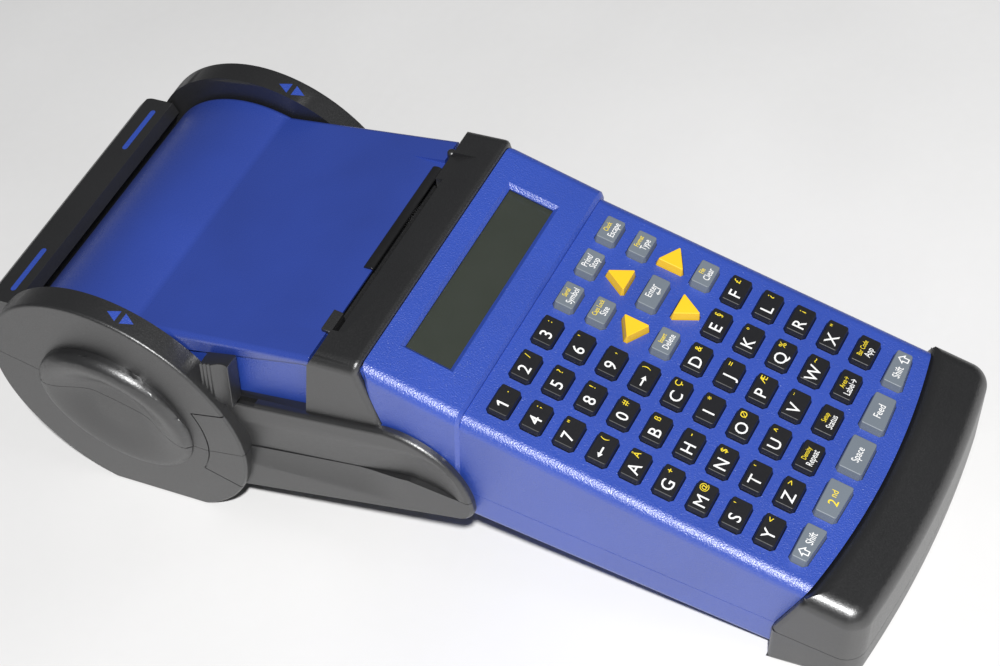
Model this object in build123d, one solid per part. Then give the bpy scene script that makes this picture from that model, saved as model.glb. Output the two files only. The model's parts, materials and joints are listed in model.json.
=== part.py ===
from build123d import *
import math
import os

# A hand-held label maker that stands on two round roll pods and a front bumper.
# Sizes are millimetres in the case frame: X to the user's right, Y towards the
# tape exit and the roll, Z up from the parting plane, y = 0 on the first key row.

# Keyboard, which sets the width and the length of the case
column_pitch = 14.0
column_count = 6
row_pitch = 10.5
row_count = 9
key_width = 10.2
key_length = 6.6
key_taper = 0.55             # inset of the cap's top on each side
key_rise = 1.9
grey_width = 9.2
grey_length = 6.4
grey_rise = 2.6
enter_width = 12.0
arrow_side = 9.6
key_corner = 0.9
key_clear = 0.35
key_travel = 1.2
flange_margin = 0.9
flange_thickness = 1.0
bottom_pitch = 16.9
bottom_width = 12.6
bottom_step = 8.0            # from the last letter row to the bottom row
bottom_length = 7.9
bottom_bow = 2.6
bottom_back_u = -(row_count - 1) * row_pitch - bottom_step
bottom_front_u = bottom_back_u - bottom_length

# Case halves
deck_margin = 7.4            # deck beside the outer keys
half_width = (column_count - 1) / 2 * column_pitch + key_width / 2 + deck_margin
half_width_display = half_width + 1.0
case_wall = 2.4
case_depth = 13.0            # lower half below the parting plane
floor_wall = 3.6
edge_round = 4.0
parting_gap = 0.2
deck_height = 32.7           # deck above the parting plane at the first key row
deck_slope = 6.4             # degrees
step_y = 8.0
step_chamfer = 1.0
display_height = 35.6        # display top above the parting plane at the step
display_slope = 8.25         # degrees
display_wall = 1.8
display_cavity = half_width - 2.9
case_joint_y = 20.0          # lower half ends, printer base begins

# Front bumper
bumper_half_width = half_width + 2.8
bumper_line_y = bottom_front_u + 7.4   # sides of the bumper joint on the parting plane
bumper_bow = 4.8
bumper_lean = 0.372          # run of the joint per unit of height
bumper_front_y = bumper_line_y - 29.5
bumper_front_bow = 3.6
bumper_corner = 7.0
bumper_proud = 1.6
bumper_round = 6.0
bumper_foot_round = 2.5
bumper_gap = 0.15

# Display window
window_width = 66.6
window_length = 14.9
window_y = 25.25
window_bevel = 1.2
lens_margin = 2.5
lens_thickness = 1.2
module_margin = 6.7
module_thickness = 6.0
seat_gap = 0.05

# Mat and board under the keys
mat_clear = 0.2              # flange above the mat, beyond the key travel
mat_half_width = half_width - 8.5
mat_thickness = 2.0
board_half_width = half_width - 2.5
board_thickness = 1.6
board_back = 5.0
chip_height = 1.5
post_radius = 1.6
post_inset = 4.3

# Neck band
band_half_width = half_width + 2.1
band_front_y = 40.0
band_rear_y = 54.5
band_height = 41.8
band_fall = 0.2276
band_brow = 38.0             # foot of the band's upright front edge
band_foot_front = 33.0
band_foot_rear = 58.5
band_hook_y = 56.6           # turned-down rear lip
band_hook_z = 33.8
band_wall = 2.8
band_side = half_width - 0.5   # case sides under the band's legs
band_gap = 0.15
lip_front_y = 52.5
lip_rear_y = 54.6
lip_foot_z = 31.0
mouth_y = 55.3
mouth_top = 36.0
scoop_front = 46.5
scoop_fall = 0.47
scoop_half_width = 38.0
scoop_corner = 17.0
knob_x = 39.4
knob_y = 55.9
knob_radius = 1.4
knob_top = 37.0
tongue_length = 5.5          # case top that the band sits on

# Tape guide on the band's rear lip
guide_rail_drop = 3.4
guide_left = -37.0
guide_width = 8.0
guide_wall = 1.1
guide_play = 0.3
guide_travel = 13.0
guide_tab_z = 34.2
guide_tab_reach = 58.8

# Roll, which sets the tub and the cover
roll_radius = 35.0
roll_left = -16.8
roll_width = 50.8
core_radius = 12.7
core_wall = 1.6
core_length = 16.0
holder_radius = 30.0
holder_flange = 1.6
holder_gap = 0.1
running_gap = 0.05
spindle_radius = 4.0

# Roll pods
pod_y = 126.2
pod_z = -25.5
pod_radius = 46.7
pod_rest = 43.06             # roll axis above the table
pod_inner = half_width + 0.5
pod_outer = half_width + 7.1
pod_lean = 0.038
pod_rim_round = 1.0
boss_radius = 27.5
boss_crown = half_width + 13.0
boss_sill = half_width + 7.3
boss_round = 1.8
dish_radius = 130.0
dish_lean = 80.0             # degrees from +Y to the brow of the dish
brow_reach = 24.0
sill_reach = 28.0
panel_radius = 33.3          # panel line between a pod and its rail
panel_line = 0.5
panel_depth = 0.5
seam_gap = 0.2

# Side rails
rail_outer = half_width + 4.1
rail_inner = half_width + 1.3
shelf_inner = half_width - 1.2
rail_round = 1.6
rail_end_y = 98.0
rim_y = 56.8                 # top rim of the rails
rim_height = 9.8
rim_fall = 0.338
under_y = 5.8                # sloping underside of the rails and the base
under_height = -10.2
under_fall = 0.4334
nose_y = 31.4
groove_radius = 45.0
groove_depth = 1.9
groove_start = (19.0, 2.0)
groove_run = (78.0, -28.0)

# Printer base
base_half_width = half_width - 1.5
base_cavity = base_half_width - 2.2
tub_inner = roll_radius + 5.3
tub_outer = tub_inner + 1.9
tub_half_width = pod_inner - 0.3
tub_top = -20.0
stub_radius = spindle_radius + 2.0
stub_length = 3.0
bar_half_width = half_width - 0.1
bar_corner = 4.0
bar_gap = 0.2
foot_height = 0.8            # rubber pads below the pods
foot_recess = 0.6
foot_length = 24.0
foot_width = 3.6
foot_x = half_width + 2.8
bumper_drop = 16.13          # bumper sole below the parting plane, at the joint

# Roll cover
cover_half_width = half_width
cover_wall = 2.4
cover_side = 2.0
cover_height = 33.2
cover_fall = 0.327
cover_front_y = 57.6
cover_radius = roll_radius + 4.5
cover_rear_angle = 8.0
cover_edge_round = 2.0
lip_start_y = 61.8           # lower edge of the cover's side lips
lip_height = 29.2
lip_fall = 0.4416
wall_top_gap = 0.5
facet_depth = 1.6
facet_back = 69.0
facet_left = -36.0
facet_right = 38.0
plate_overhang = 1.4
plate_depth = 4.0
plate_left = -9.6
plate_right = 34.8
plate_sheet = 0.9
ear_drop = 8.0
hub_radius = stub_radius + 4.0

# Cover latch on the left rail
latch_y = 84.0
latch_outer = half_width + 5.1
latch_inner = pod_inner
latch_rib = 0.8
latch_foot = 1.0
latch_clear = 0.3
latch_travel = 3.0
latch_grips = 3
latch_grip_pitch = 2.2

# Print mechanism
plate_inner = 34.5
plate_thickness = 1.5
chassis_foot = -28.0
platen_y = 62.0
platen_z = 20.0
platen_radius = 6.0
platen_half_length = 33.5
shaft_radius = 2.0
gear_module = 0.8
platen_teeth = 20
idler_teeth = 32
pinion_teeth = 12
idler_offset = 4.0           # idler axis behind the platen axis
gear_start = 37.0
gear_width = 4.0
gear_backlash = 0.14
motor_radius = 8.0
motor_length = 20.0
motor_shaft = 1.0
head_pivot_y = 50.5
head_pivot_z = 0.0
head_pin_radius = 1.5
head_back = 52.6
head_plate = 1.6
head_half_width = 30.0
head_left = -22.0
head_gap = 0.15
chassis_post = 3.0
supply_y = 82.0
supply_z = 4.0
supply_radius = 8.5
takeup_y = 50.0
takeup_z = -13.0
takeup_radius = 6.5
spool_axle = 2.0
ribbon_half_width = 31.5
ribbon_plate = 1.5
ribbon_tie = (66.0, -4.3)

# Batteries, inlet and screws
cell_radius = 7.25
cell_length = 50.5
cell_pitch = 14.3
cell_count = 5
cell_room = 1.0
battery_y = -45.0
door_margin = 4.0
door_thickness = 1.6
door_travel = 8.0
door_gap = 0.15
door_ridges = 4
door_ridge_pitch = 3.0
jack_y = -16.0
jack_z = -5.0
jack_radius = 4.0
jack_bore = 2.75
jack_length = 7.0
screw_x = half_width - 6.0
screw_rows = (bumper_line_y + 5.0, -6.0, 14.0)
screw_boss = 4.0
screw_head_radius = 2.5
screw_head_height = 1.8
screw_radius = 1.3
screw_length = 12.0
screw_gap = 0.06

beyond = 200.0               # reach of a cut that passes right through
STAND_UP = (Align.CENTER, Align.CENTER, Align.MIN)
COLUMNS = range(column_count)
BLACK_GROUPS = {
    "number_keys": [(row, column) for row in range(4) for column in range(3)],
    "letter_keys_upper": [(row, column) for row in (4, 5) for column in COLUMNS],
    "letter_keys_middle": [(row, column) for row in (6, 7) for column in COLUMNS],
    "letter_keys_lower": [(8, column) for column in COLUMNS],
}
GREY_KEYS = {
    "key_symbol": (0, 3), "key_print": (0, 4), "key_escape": (0, 5),
    "key_size": (1, 3), "key_type": (1, 5),
    "key_delete": (3, 3), "key_clear": (3, 5),
}
ARROW_KEYS = {"key_up": (1, 4, 90), "key_left": (2, 3, 180),
              "key_right": (2, 5, 0), "key_down": (3, 4, 270)}
BOTTOM_KEYS = ["key_shift_left", "key_second", "key_space", "key_feed", "key_shift_right"]


def profile(*points):
    """Face in the side plane from (y, z) corners."""
    return make_face(Plane.YZ * Polyline(*points, close=True))


def slab(face, x0, x1):
    return extrude(Pos(x0, 0, 0) * face, amount=x1 - x0, dir=(1, 0, 0))


def rod(y, z, radius, x0, x1):
    low, high = min(x0, x1), max(x0, x1)
    return Pos(low, y, z) * Rot(0, 90, 0) * Cylinder(radius, high - low, align=STAND_UP)


def post(x, y, radius, z0, z1):
    return Pos(x, y, z0) * Cylinder(radius, z1 - z0, align=STAND_UP)


def block(x0, x1, y0, y1, z0, z1):
    align = (Align.MIN, Align.MIN, Align.MIN)
    return Pos(x0, y0, z0) * Box(x1 - x0, y1 - y0, z1 - z0, align=align)


def both_sides(shape):
    return shape + mirror(shape, about=Plane.YZ)


def slope(degrees):
    return math.tan(math.radians(degrees))


def deck_z(y):
    return deck_height + y * slope(deck_slope)


def display_z(y):
    return display_height + (y - step_y) * slope(display_slope)


def band_z(y):
    return band_height - (y - band_front_y) * band_fall


def cover_z(y):
    return cover_height - (y - cover_front_y) * cover_fall


def under_z(y):
    return under_height - (y - under_y) * under_fall


def rim_z(y):
    return rim_height - (y - rim_y) * rim_fall


def lip_z(y):
    return lip_height - (y - lip_start_y) * lip_fall


def stand_angle():
    """Tilt of the table plane that touches the pods and the bumper's sole."""
    run = pod_y - bumper_line_y
    rise = pod_z + bumper_drop
    return math.asin(pod_rest / math.hypot(run, rise)) - math.atan2(rise, run)


STAND_TILT = stand_angle()
DECK = Pos(0, 0, deck_height) * Rot(deck_slope, 0, 0)
WINDOW = Pos(0, window_y, display_z(window_y)) * Rot(display_slope, 0, 0)
TABLE = Plane(
    origin=(0, pod_y - pod_rest * math.sin(STAND_TILT), pod_z - pod_rest * math.cos(STAND_TILT)),
    x_dir=(1, 0, 0), z_dir=(0, math.sin(STAND_TILT), math.cos(STAND_TILT)),
)


def bumper_side(shift, height):
    """Solid behind the bowed joint between the case and the bumper."""
    reach = 2 * bumper_half_width
    crown_y = bumper_line_y + shift - bumper_bow
    radius = (half_width ** 2 + bumper_bow ** 2) / (2 * bumper_bow)
    edge_y = crown_y + radius - math.sqrt(radius ** 2 - reach ** 2 / 4)
    left, right = (-reach / 2, edge_y), (reach / 2, edge_y)
    arc = ThreePointArc(left, (0, crown_y), right)
    back = Polyline(right, (reach, 3 * reach), (-reach, 3 * reach), left)
    lean = (0, -bumper_lean, 1) if height > 0 else (0, 0, -1)
    length = abs(height) * math.sqrt(1 + lean[1] ** 2)
    return extrude(make_face(arc + back), amount=length, dir=lean)


def key_outline(width, length, inset=0.0):
    """Rectangle with cut corners, shrunk by the inset on every side."""
    sheet = Rectangle(width - 2 * inset, length - 2 * inset)
    return chamfer(sheet.vertices(), key_corner)


def arrow_outline(turn, inset=0.0):
    sheet = Triangle(a=arrow_side, b=arrow_side, c=arrow_side, rotation=0)
    sheet = chamfer(sheet.vertices(), key_corner)
    middle = sheet.center()
    scale_to = 1 - inset * 2 * math.sqrt(3) / arrow_side
    return Rot(0, 0, turn - 90) * scale(Pos(-middle.X, -middle.Y) * sheet, by=scale_to)


def bottom_outline(index, inset=0.0):
    """Bottom-row key whose front edge follows the bowed deck edge."""
    middle = (len(BOTTOM_KEYS) - 1) / 2
    centre = (index - middle) * bottom_pitch
    left = centre - bottom_width / 2 + inset
    right = centre + bottom_width / 2 - inset
    half_row = middle * bottom_pitch + bottom_width / 2

    def front(x):
        return (x, bottom_front_u + bottom_bow * (x / half_row) ** 2 + inset)

    back = bottom_back_u - inset
    sheet = make_face(Polyline(front(left), front(right), (right, back), (left, back), close=True))
    return chamfer(sheet.vertices(), key_corner)


def key_solid(low, high, rise, place):
    """Tapered cap, its shank through the deck and the flange that stops it."""
    cap = loft([low, Pos(0, 0, rise) * high], ruled=True)
    shank_depth = case_wall + seat_gap
    shank = extrude(low, amount=-(shank_depth + flange_thickness))
    flange = Pos(0, 0, -shank_depth) * offset(low, flange_margin, kind=Kind.INTERSECTION)
    return DECK * place * (cap + shank + extrude(flange, amount=-flange_thickness))


def aperture(low, place):
    grown = offset(low, key_clear, kind=Kind.INTERSECTION)
    hole = extrude(Pos(0, 0, case_wall) * grown, amount=-3 * case_wall)
    return DECK * place * hole


def key_place(row, column):
    return Pos((column - (column_count - 1) / 2) * column_pitch, -row * row_pitch, 0)


def key_forms():
    """Every key by node: its base outline, top outline, rise and place."""
    forms = {}
    for name, cells in BLACK_GROUPS.items():
        low = key_outline(key_width, key_length)
        high = key_outline(key_width, key_length, key_taper)
        forms[name] = [(low, high, key_rise, key_place(*cell)) for cell in cells]
    for name, cell in GREY_KEYS.items():
        low = key_outline(grey_width, grey_length)
        high = key_outline(grey_width, grey_length, key_taper)
        forms[name] = [(low, high, grey_rise, key_place(*cell))]
    low = key_outline(enter_width, grey_length)
    high = key_outline(enter_width, grey_length, key_taper)
    forms["key_enter"] = [(low, high, grey_rise, key_place(2, 4))]
    for name, (row, column, turn) in ARROW_KEYS.items():
        low = arrow_outline(turn)
        high = arrow_outline(turn, key_taper)
        forms[name] = [(low, high, grey_rise, key_place(row, column))]
    for index, name in enumerate(BOTTOM_KEYS):
        low = bottom_outline(index)
        high = bottom_outline(index, key_taper)
        forms[name] = [(low, high, grey_rise, Pos(0, 0, 0))]
    return forms


def leg_profile(grow=0.0):
    """One leg of the neck band, seen from the side."""
    return profile(
        (band_front_y - grow, band_height),
        (band_front_y - grow, band_brow),
        (band_foot_front - grow, rim_z(band_foot_front) - grow),
        (band_foot_rear + grow, rim_z(band_foot_rear) - grow),
        (band_hook_y + grow, band_hook_z),
        (band_rear_y + grow, band_z(band_rear_y)),
    )


def upper_housing(forms):
    front_y = bumper_front_y
    joint_y = band_front_y - band_gap
    keypad = slab(profile((front_y, 0), (step_y, 0), (step_y, deck_z(step_y)), (front_y, deck_z(front_y))),
                  -half_width, half_width)
    display = slab(profile((step_y, 0), (joint_y, 0), (joint_y, display_z(joint_y)), (step_y, display_z(step_y))),
                   -half_width_display, half_width_display)
    keypad = fillet([e for e in keypad.edges() if top_edge(e, half_width)], edge_round)
    display = fillet([e for e in display.edges() if top_edge(e, half_width_display)], edge_round)
    across = display.edges().filter_by(Axis.X).group_by(Axis.Y)[0]
    display = chamfer(across.sort_by(Axis.Z)[-1], step_chamfer)
    tongue_y = band_front_y + tongue_length
    tongue_drop = band_wall + band_gap
    start_y = joint_y - 1
    tongue = slab(profile((start_y, 0), (tongue_y, 0), (tongue_y, band_z(tongue_y) - tongue_drop),
                          (start_y, band_z(start_y) - tongue_drop)), -band_side, band_side)
    shell = keypad + display + tongue
    shell &= bumper_side(bumper_gap, 2 * deck_height)
    shell -= housing_cavity(tongue_y)
    shell += compartment_walls(joint_y)
    shell -= both_sides(slab(leg_profile(band_gap), band_side, beyond))
    shell -= window_cut()
    shell -= [aperture(low, place) for cells in forms.values() for low, high, rise, place in cells]
    shell += board_posts()
    shell += screw_bosses(parting_gap, screw_length)
    return shell - block(-beyond, beyond, -beyond, beyond, -beyond, parting_gap)


def top_edge(edge, side_x):
    middle = edge.center()
    return abs(abs(middle.X) - side_x) < 0.01 and middle.Z > 0.6 * deck_height


def housing_cavity(tongue_y):
    front_y = bumper_front_y
    drop = case_wall / math.cos(math.radians(deck_slope))
    display_drop = display_wall / math.cos(math.radians(display_slope))
    side = half_width - case_wall
    split_y = step_y + case_wall
    keys = slab(profile((front_y, -1), (split_y, -1), (split_y, deck_z(split_y) - drop),
                        (front_y, deck_z(front_y) - drop)), -side, side)
    keys &= bumper_side(case_wall, 2 * deck_height)
    end_y = band_front_y - case_wall
    view = slab(profile((step_y, -1), (end_y, -1), (end_y, display_z(end_y) - display_drop),
                        (split_y, display_z(split_y) - display_drop), (split_y, deck_z(step_y) - drop),
                        (step_y, deck_z(step_y) - drop)), -display_cavity, display_cavity)
    rear_drop = band_wall + 2 * case_wall
    rear = slab(profile((end_y - 1, -1), (tongue_y + 1, -1), (tongue_y + 1, band_z(tongue_y) - rear_drop),
                        (end_y - 1, band_z(end_y) - rear_drop)), -base_cavity, base_cavity)
    return keys + view + rear


def compartment_walls(joint_y):
    """Blue side walls below the lips of the roll cover."""
    rear_y = pod_y - 0.5 * pod_radius
    front_top = lip_z(cover_front_y) - wall_top_gap
    strip = slab(profile((joint_y, 0), (rear_y, 0), (rear_y, lip_z(rear_y) - wall_top_gap),
                         (cover_front_y, front_top), (joint_y, front_top)), base_cavity, base_half_width)
    strip -= rod(pod_y, pod_z, cover_radius + wall_top_gap, 0, beyond)
    return both_sides(strip)


def window_cut():
    hole = extrude(Rectangle(window_width, window_length), amount=-3 * display_wall)
    lower = Pos(0, 0, -window_bevel) * Rectangle(window_width, window_length)
    rim = Rectangle(window_width + 2 * window_bevel, window_length + 2 * window_bevel)
    return WINDOW * (hole + loft([lower, rim], ruled=True))


def mat_w():
    """Height of the mat's top in the deck frame."""
    return -case_wall - seat_gap - flange_thickness - key_travel - mat_clear


def board_w():
    return mat_w() - mat_thickness


def board_posts():
    top = -case_wall + 0.5
    foot = board_w() + seat_gap
    posts = Part()
    for side in (-1, 1):
        for u in (-1.2 * row_pitch, bottom_front_u + 1.5 * bottom_length):
            posts += post(side * (half_width - post_inset), u, post_radius, foot, top)
    return DECK * posts


def screw_places():
    return [(side * screw_x, y) for side in (-1, 1) for y in screw_rows]


def screw_bosses(z0, z1):
    bosses = Part()
    for x, y in screw_places():
        bosses += post(x, y, screw_boss, z0, z1)
        bosses -= post(x, y, screw_radius + screw_gap, z0 - 1, z1 - 0.5)
    return bosses


def battery_half_width():
    return (cell_count - 1) / 2 * cell_pitch + cell_radius + cell_room


def door_plate(thickness, grow=0.0, extra=0.0):
    """Battery door, or its rebate with room for the door to slide forward."""
    half = battery_half_width() + door_margin + grow
    reach = cell_length / 2 + cell_room + door_margin + grow
    return block(-half, half, battery_y - reach - extra, battery_y + reach, -case_depth, thickness - case_depth)


def lower_housing():
    body = block(-half_width, half_width, bumper_front_y, case_joint_y, -case_depth, 0)
    low = [e for e in body.edges().filter_by(Axis.Y) if e.center().Z < -1]
    body = fillet(low, edge_round)
    body &= bumper_side(bumper_gap, -2 * case_depth)
    side = half_width - case_wall
    room = block(-side, side, bumper_front_y, case_joint_y - case_wall, floor_wall - case_depth, 1)
    room &= Pos(0, 0, case_depth) * bumper_side(case_wall, -3 * case_depth)
    body -= room
    half = battery_half_width()
    reach = cell_length / 2 + cell_room
    body -= block(-half, half, battery_y - reach, battery_y + reach, -2 * case_depth, 0)
    body -= door_plate(door_thickness + door_gap, door_gap, door_travel)
    body -= rod(jack_y, jack_z, jack_radius + screw_gap, half_width - 2 * case_wall, beyond)
    body += screw_bosses(0.5 - case_depth, 0)
    for x, y in screw_places():
        body -= post(x, y, screw_head_radius + screw_gap, -2 * case_depth, floor_wall - case_depth)
        body -= post(x, y, screw_radius + screw_gap, -2 * case_depth, case_depth)
    return body


def bumper_blank():
    """Plan of the bumper: bowed front edge and rounded corners."""
    side_y = bumper_front_y + bumper_front_bow
    back_y = bumper_line_y + 2
    left, right = (-bumper_half_width, side_y), (bumper_half_width, side_y)
    arc = ThreePointArc(left, (0, bumper_front_y), right)
    rest = Polyline(right, (bumper_half_width, back_y), (-bumper_half_width, back_y), left)
    sheet = make_face(arc + rest)
    corners = sheet.vertices().group_by(Axis.Y)[0]
    return fillet(corners, bumper_corner)


def outer_rim(face, clear):
    """Edges of a bumper face that aren't on its joint with the case."""
    joint_y = bumper_line_y - bumper_bow - clear
    return [e for e in face.edges() if e.center().Y < joint_y or abs(e.center().X) > half_width + 1]


def bumper_upper():
    front_y = bumper_front_y - 5
    top = profile((front_y, parting_gap), (bumper_line_y, parting_gap),
                  (bumper_line_y, deck_z(bumper_line_y) + bumper_proud), (front_y, deck_z(front_y) + bumper_proud))
    body = extrude(bumper_blank(), amount=2 * deck_height)
    body &= slab(top, -bumper_half_width, bumper_half_width)
    body -= bumper_side(0, 2 * deck_height)
    crown = body.faces().sort_by(Axis.Z)[-1]
    return fillet(outer_rim(crown, 4), bumper_round)


def bumper_lower():
    body = extrude(bumper_blank(), amount=-3 * case_depth)
    body = split(body, bisect_by=TABLE, keep=Keep.TOP)
    body -= bumper_side(0, -2 * case_depth)
    sole = body.faces().sort_by(Axis.Z)[0]
    return fillet(outer_rim(sole, 2), bumper_foot_round)


def neck_band():
    """Inverted U over the case, with a turned-down rear lip."""
    whole = profile(
        (band_front_y, band_height),
        (band_front_y, band_brow),
        (band_foot_front, rim_z(band_foot_front)),
        (band_foot_rear, rim_z(band_foot_rear)),
        (band_hook_y, band_hook_z),
        (band_rear_y, band_z(band_rear_y)),
    )
    band = slab(whole, -band_half_width, band_half_width)
    crown = [e for e in band.edges() if top_edge(e, band_half_width) and band_front_y < e.center().Y < band_rear_y]
    band = fillet(crown, edge_round)
    band -= band_scoop()
    low_z = -case_depth
    side = band_side + band_gap
    split_y = band_front_y + tongue_length + band_gap
    band -= slab(profile((0, low_z), (split_y, low_z), (split_y, band_z(split_y) - band_wall),
                         (0, band_z(0) - band_wall)), -side, side)
    side = base_half_width + band_gap
    start_y = split_y - 0.1
    band -= slab(profile((start_y, low_z), (pod_y, low_z), (pod_y, lip_foot_z), (lip_front_y, lip_foot_z),
                         (lip_front_y, band_z(lip_front_y) - band_wall), (start_y, band_z(start_y) - band_wall)),
                 -side, side)
    mouth_foot = lip_foot_z - 0.1
    mouth = profile((lip_rear_y, mouth_foot), (mouth_y, 0.6 * mouth_top + 0.4 * mouth_foot), (mouth_y, mouth_top),
                    (pod_y, mouth_top), (pod_y, mouth_foot))
    band -= slab(mouth, -side, side)
    return band + guide_rail() + band_knob()


def band_scoop():
    """Shallow slope in the band's rear edge, which leads the tape out."""
    rear_y = band_foot_rear
    low = band_z(scoop_front) - (rear_y - scoop_front) * scoop_fall
    above = slab(profile((scoop_front, band_z(scoop_front)), (rear_y, low), (rear_y, beyond), (scoop_front, beyond)),
                 -scoop_half_width, scoop_half_width)
    left_y = (scoop_front + band_rear_y) / 2
    plan = make_face(Polyline((scoop_half_width, scoop_front), (scoop_half_width, beyond), (-scoop_half_width, beyond),
                              (-scoop_half_width, left_y), (scoop_corner - scoop_half_width, scoop_front), close=True))
    return above & extrude(plan, amount=beyond)


def band_knob():
    """Small round stop at the right end of the tape slot."""
    stem = post(knob_x, knob_y, knob_radius, lip_foot_z, knob_top)
    return fillet(stem.edges().sort_by(Axis.Z)[-1], 0.7 * knob_radius)


def guide_rail():
    right = guide_left + guide_width + guide_travel + 1
    return block(guide_left - 1, right, lip_front_y + 0.1, lip_rear_y, lip_foot_z - guide_rail_drop, lip_foot_z + 0.2)


def edge_guide():
    """Clip that rides on the band's rail, with a tab over the tape's left edge."""
    front = lip_front_y + 0.1 - guide_play
    rear = lip_rear_y + guide_play
    arm = mouth_y + guide_play
    foot = lip_foot_z - guide_rail_drop - guide_play
    grip = lip_foot_z - guide_play
    tab_top = guide_tab_z + guide_wall
    clip = profile(
        (front - guide_wall, foot - guide_wall), (arm + guide_wall, foot - guide_wall),
        (arm + guide_wall, guide_tab_z), (guide_tab_reach, guide_tab_z), (guide_tab_reach, tab_top),
        (arm, tab_top), (arm, grip), (rear, grip), (rear, foot), (front, foot),
        (front, grip - guide_play), (front - guide_wall, grip - guide_play),
    )
    return slab(clip, guide_left, guide_left + guide_width)


def seam_profile(shift):
    """Region above the seam between the side frames and the printer base."""
    start, bend, dip = (-5.0, shift), (23.6, shift - 1.1), (77.0, shift - 20.6)
    low, crest, rear = (94.0, shift - 28.0), (114.0, shift - 24.6), (153.0, shift - 23.2)
    end = (190.0, shift - 20.4)
    run = Polyline(start, bend, dip, low)
    front_wave = ThreePointArc(low, (104.0, shift - 28.4), crest)
    rear_wave = ThreePointArc(crest, (132.0, shift - 22.4), rear)
    top = Polyline(rear, end, (end[0], beyond), (start[0], beyond), start)
    return make_face(Plane.YZ * (run + front_wave + rear_wave + top))


def rail_profile():
    rear_top, rear_low = (rail_end_y, rim_z(rail_end_y)), (rail_end_y, under_z(rail_end_y))
    shoulder, tip, chin = (nose_y, rim_z(nose_y)), (2.2, -3.0), (under_y, under_height)
    rim = Polyline(rear_top, shoulder)
    nose = ThreePointArc(shoulder, (6.7, 8.7), tip)
    throat = ThreePointArc(tip, (2.7, -7.0), chin)
    under = Polyline(chin, rear_low, rear_top)
    return make_face(Plane.YZ * (rim + nose + throat + under))


def rail_back():
    """Where the rails pass from beside the tub to beside the pods."""
    return pod_y - tub_outer - 2 * seam_gap


def y_band(y0, y1):
    return Plane.YZ * Pos((y0 + y1) / 2, 0) * Rectangle(y1 - y0, 2 * beyond)


def rail_solid(split_y, inner):
    """Rail with a rounded outer edge, thick behind split_y, hollowed outside."""
    rail = slab(rail_profile() & y_band(-beyond, split_y), rail_inner, rail_outer)
    rail += slab(rail_profile() & y_band(split_y, rail_back()), inner, rail_outer)
    rail += slab(rail_profile() & y_band(rail_back(), rail_end_y), pod_inner, rail_outer)
    top = [e for e in rail.edges() if abs(e.center().X - rail_outer) < 0.01 and e.center().Z > 0]
    return fillet(top, rail_round) - rail_groove()


def rail_groove():
    """Shallow hollow along the rail, closed by a round end at the nose."""
    start = Vector(rail_outer + groove_radius - groove_depth, *groove_start)
    run = Vector(0, *groove_run)
    hollow = extrude(Plane(origin=start, z_dir=run) * Circle(groove_radius), amount=run.length)
    return hollow + Pos(*start) * Sphere(groove_radius)


def pod_wedge(inset):
    """Everything inside the pod's leaning outer face, moved in by the inset."""
    reach = 2 * pod_radius
    lean = reach * pod_lean
    face = Polyline((0, pod_z - reach), (pod_outer - lean - inset, pod_z - reach),
                    (pod_outer + lean - inset, pod_z + reach), (0, pod_z + reach), close=True)
    return Pos(0, pod_y, 0) * extrude(make_face(Plane.XZ * face), amount=2 * reach, both=True)


def pod_solid():
    """One roll pod with its rounded rim, panel lines and hollowed boss."""
    pod = rod(pod_y, pod_z, pod_radius, pod_inner, boss_crown) & pod_wedge(0)
    rim = [e for e in pod.edges() if e.center().X > pod_outer - 2]
    pod = fillet(rim, pod_rim_round)
    pod -= panel_lines() - pod_wedge(panel_depth)
    pod = split(pod, bisect_by=TABLE.offset(foot_height), keep=Keep.TOP)
    boss = rod(pod_y, pod_z, boss_radius, pod_inner + 1, boss_crown)
    crown = [e for e in boss.edges() if e.center().X > boss_crown - 0.1]
    return pod + (fillet(crown, boss_round) - boss_dish())


def on_pod(radius, degrees):
    angle = math.radians(degrees)
    return (pod_y + radius * math.cos(angle), pod_z + radius * math.sin(angle))


def panel_lines():
    """Groove round the panel that joins the pod to its rail."""
    rim = pod_radius + 2
    top = Line(on_pod(rim, 152), on_pod(panel_radius, 151))
    side = ThreePointArc(on_pod(panel_radius, 151), on_pod(panel_radius, 178), on_pod(panel_radius, 205))
    foot = Line(on_pod(panel_radius, 205), on_pod(rim, 200))
    face = Sketch() + [trace(line, line_width=panel_line) for line in (top, side, foot)]
    return slab(Plane.YZ * face, pod_inner, boss_crown)


def boss_dish():
    """Ball that hollows the boss between its brow and its lower sill."""
    rise = boss_crown - boss_sill
    run = brow_reach + sill_reach
    chord = math.hypot(run, rise)
    stand_off = math.sqrt(dish_radius ** 2 - chord ** 2 / 4)
    along = (brow_reach - sill_reach) / 2 - stand_off * rise / chord
    out = (boss_crown + boss_sill) / 2 + stand_off * run / chord
    return Pos(out, *on_pod(along, dish_lean)) * Sphere(dish_radius)


def upper_side_frame():
    shelf_y = band_front_y + tongue_length + band_gap
    frame = rail_solid(shelf_y, shelf_inner) + pod_solid()
    return frame & slab(seam_profile(seam_gap), 0, beyond)


def latch_slot(clear, stretch):
    """Slot along the rail's shelf that guides the latch foot."""
    place = Pos(-(latch_inner + rail_outer) / 2, latch_y, rim_z(latch_y)) * Rot(-math.degrees(math.atan(rim_fall)), 0, 0)
    half = latch_foot + clear
    return place * block(-half, half, -5.0 - stretch - clear, 3.0 + clear, -2.0 - clear, 2.0)


def side_frame_left():
    frame = mirror(upper_side_frame(), about=Plane.YZ)
    return frame - latch_slot(latch_clear, latch_travel)


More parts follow.
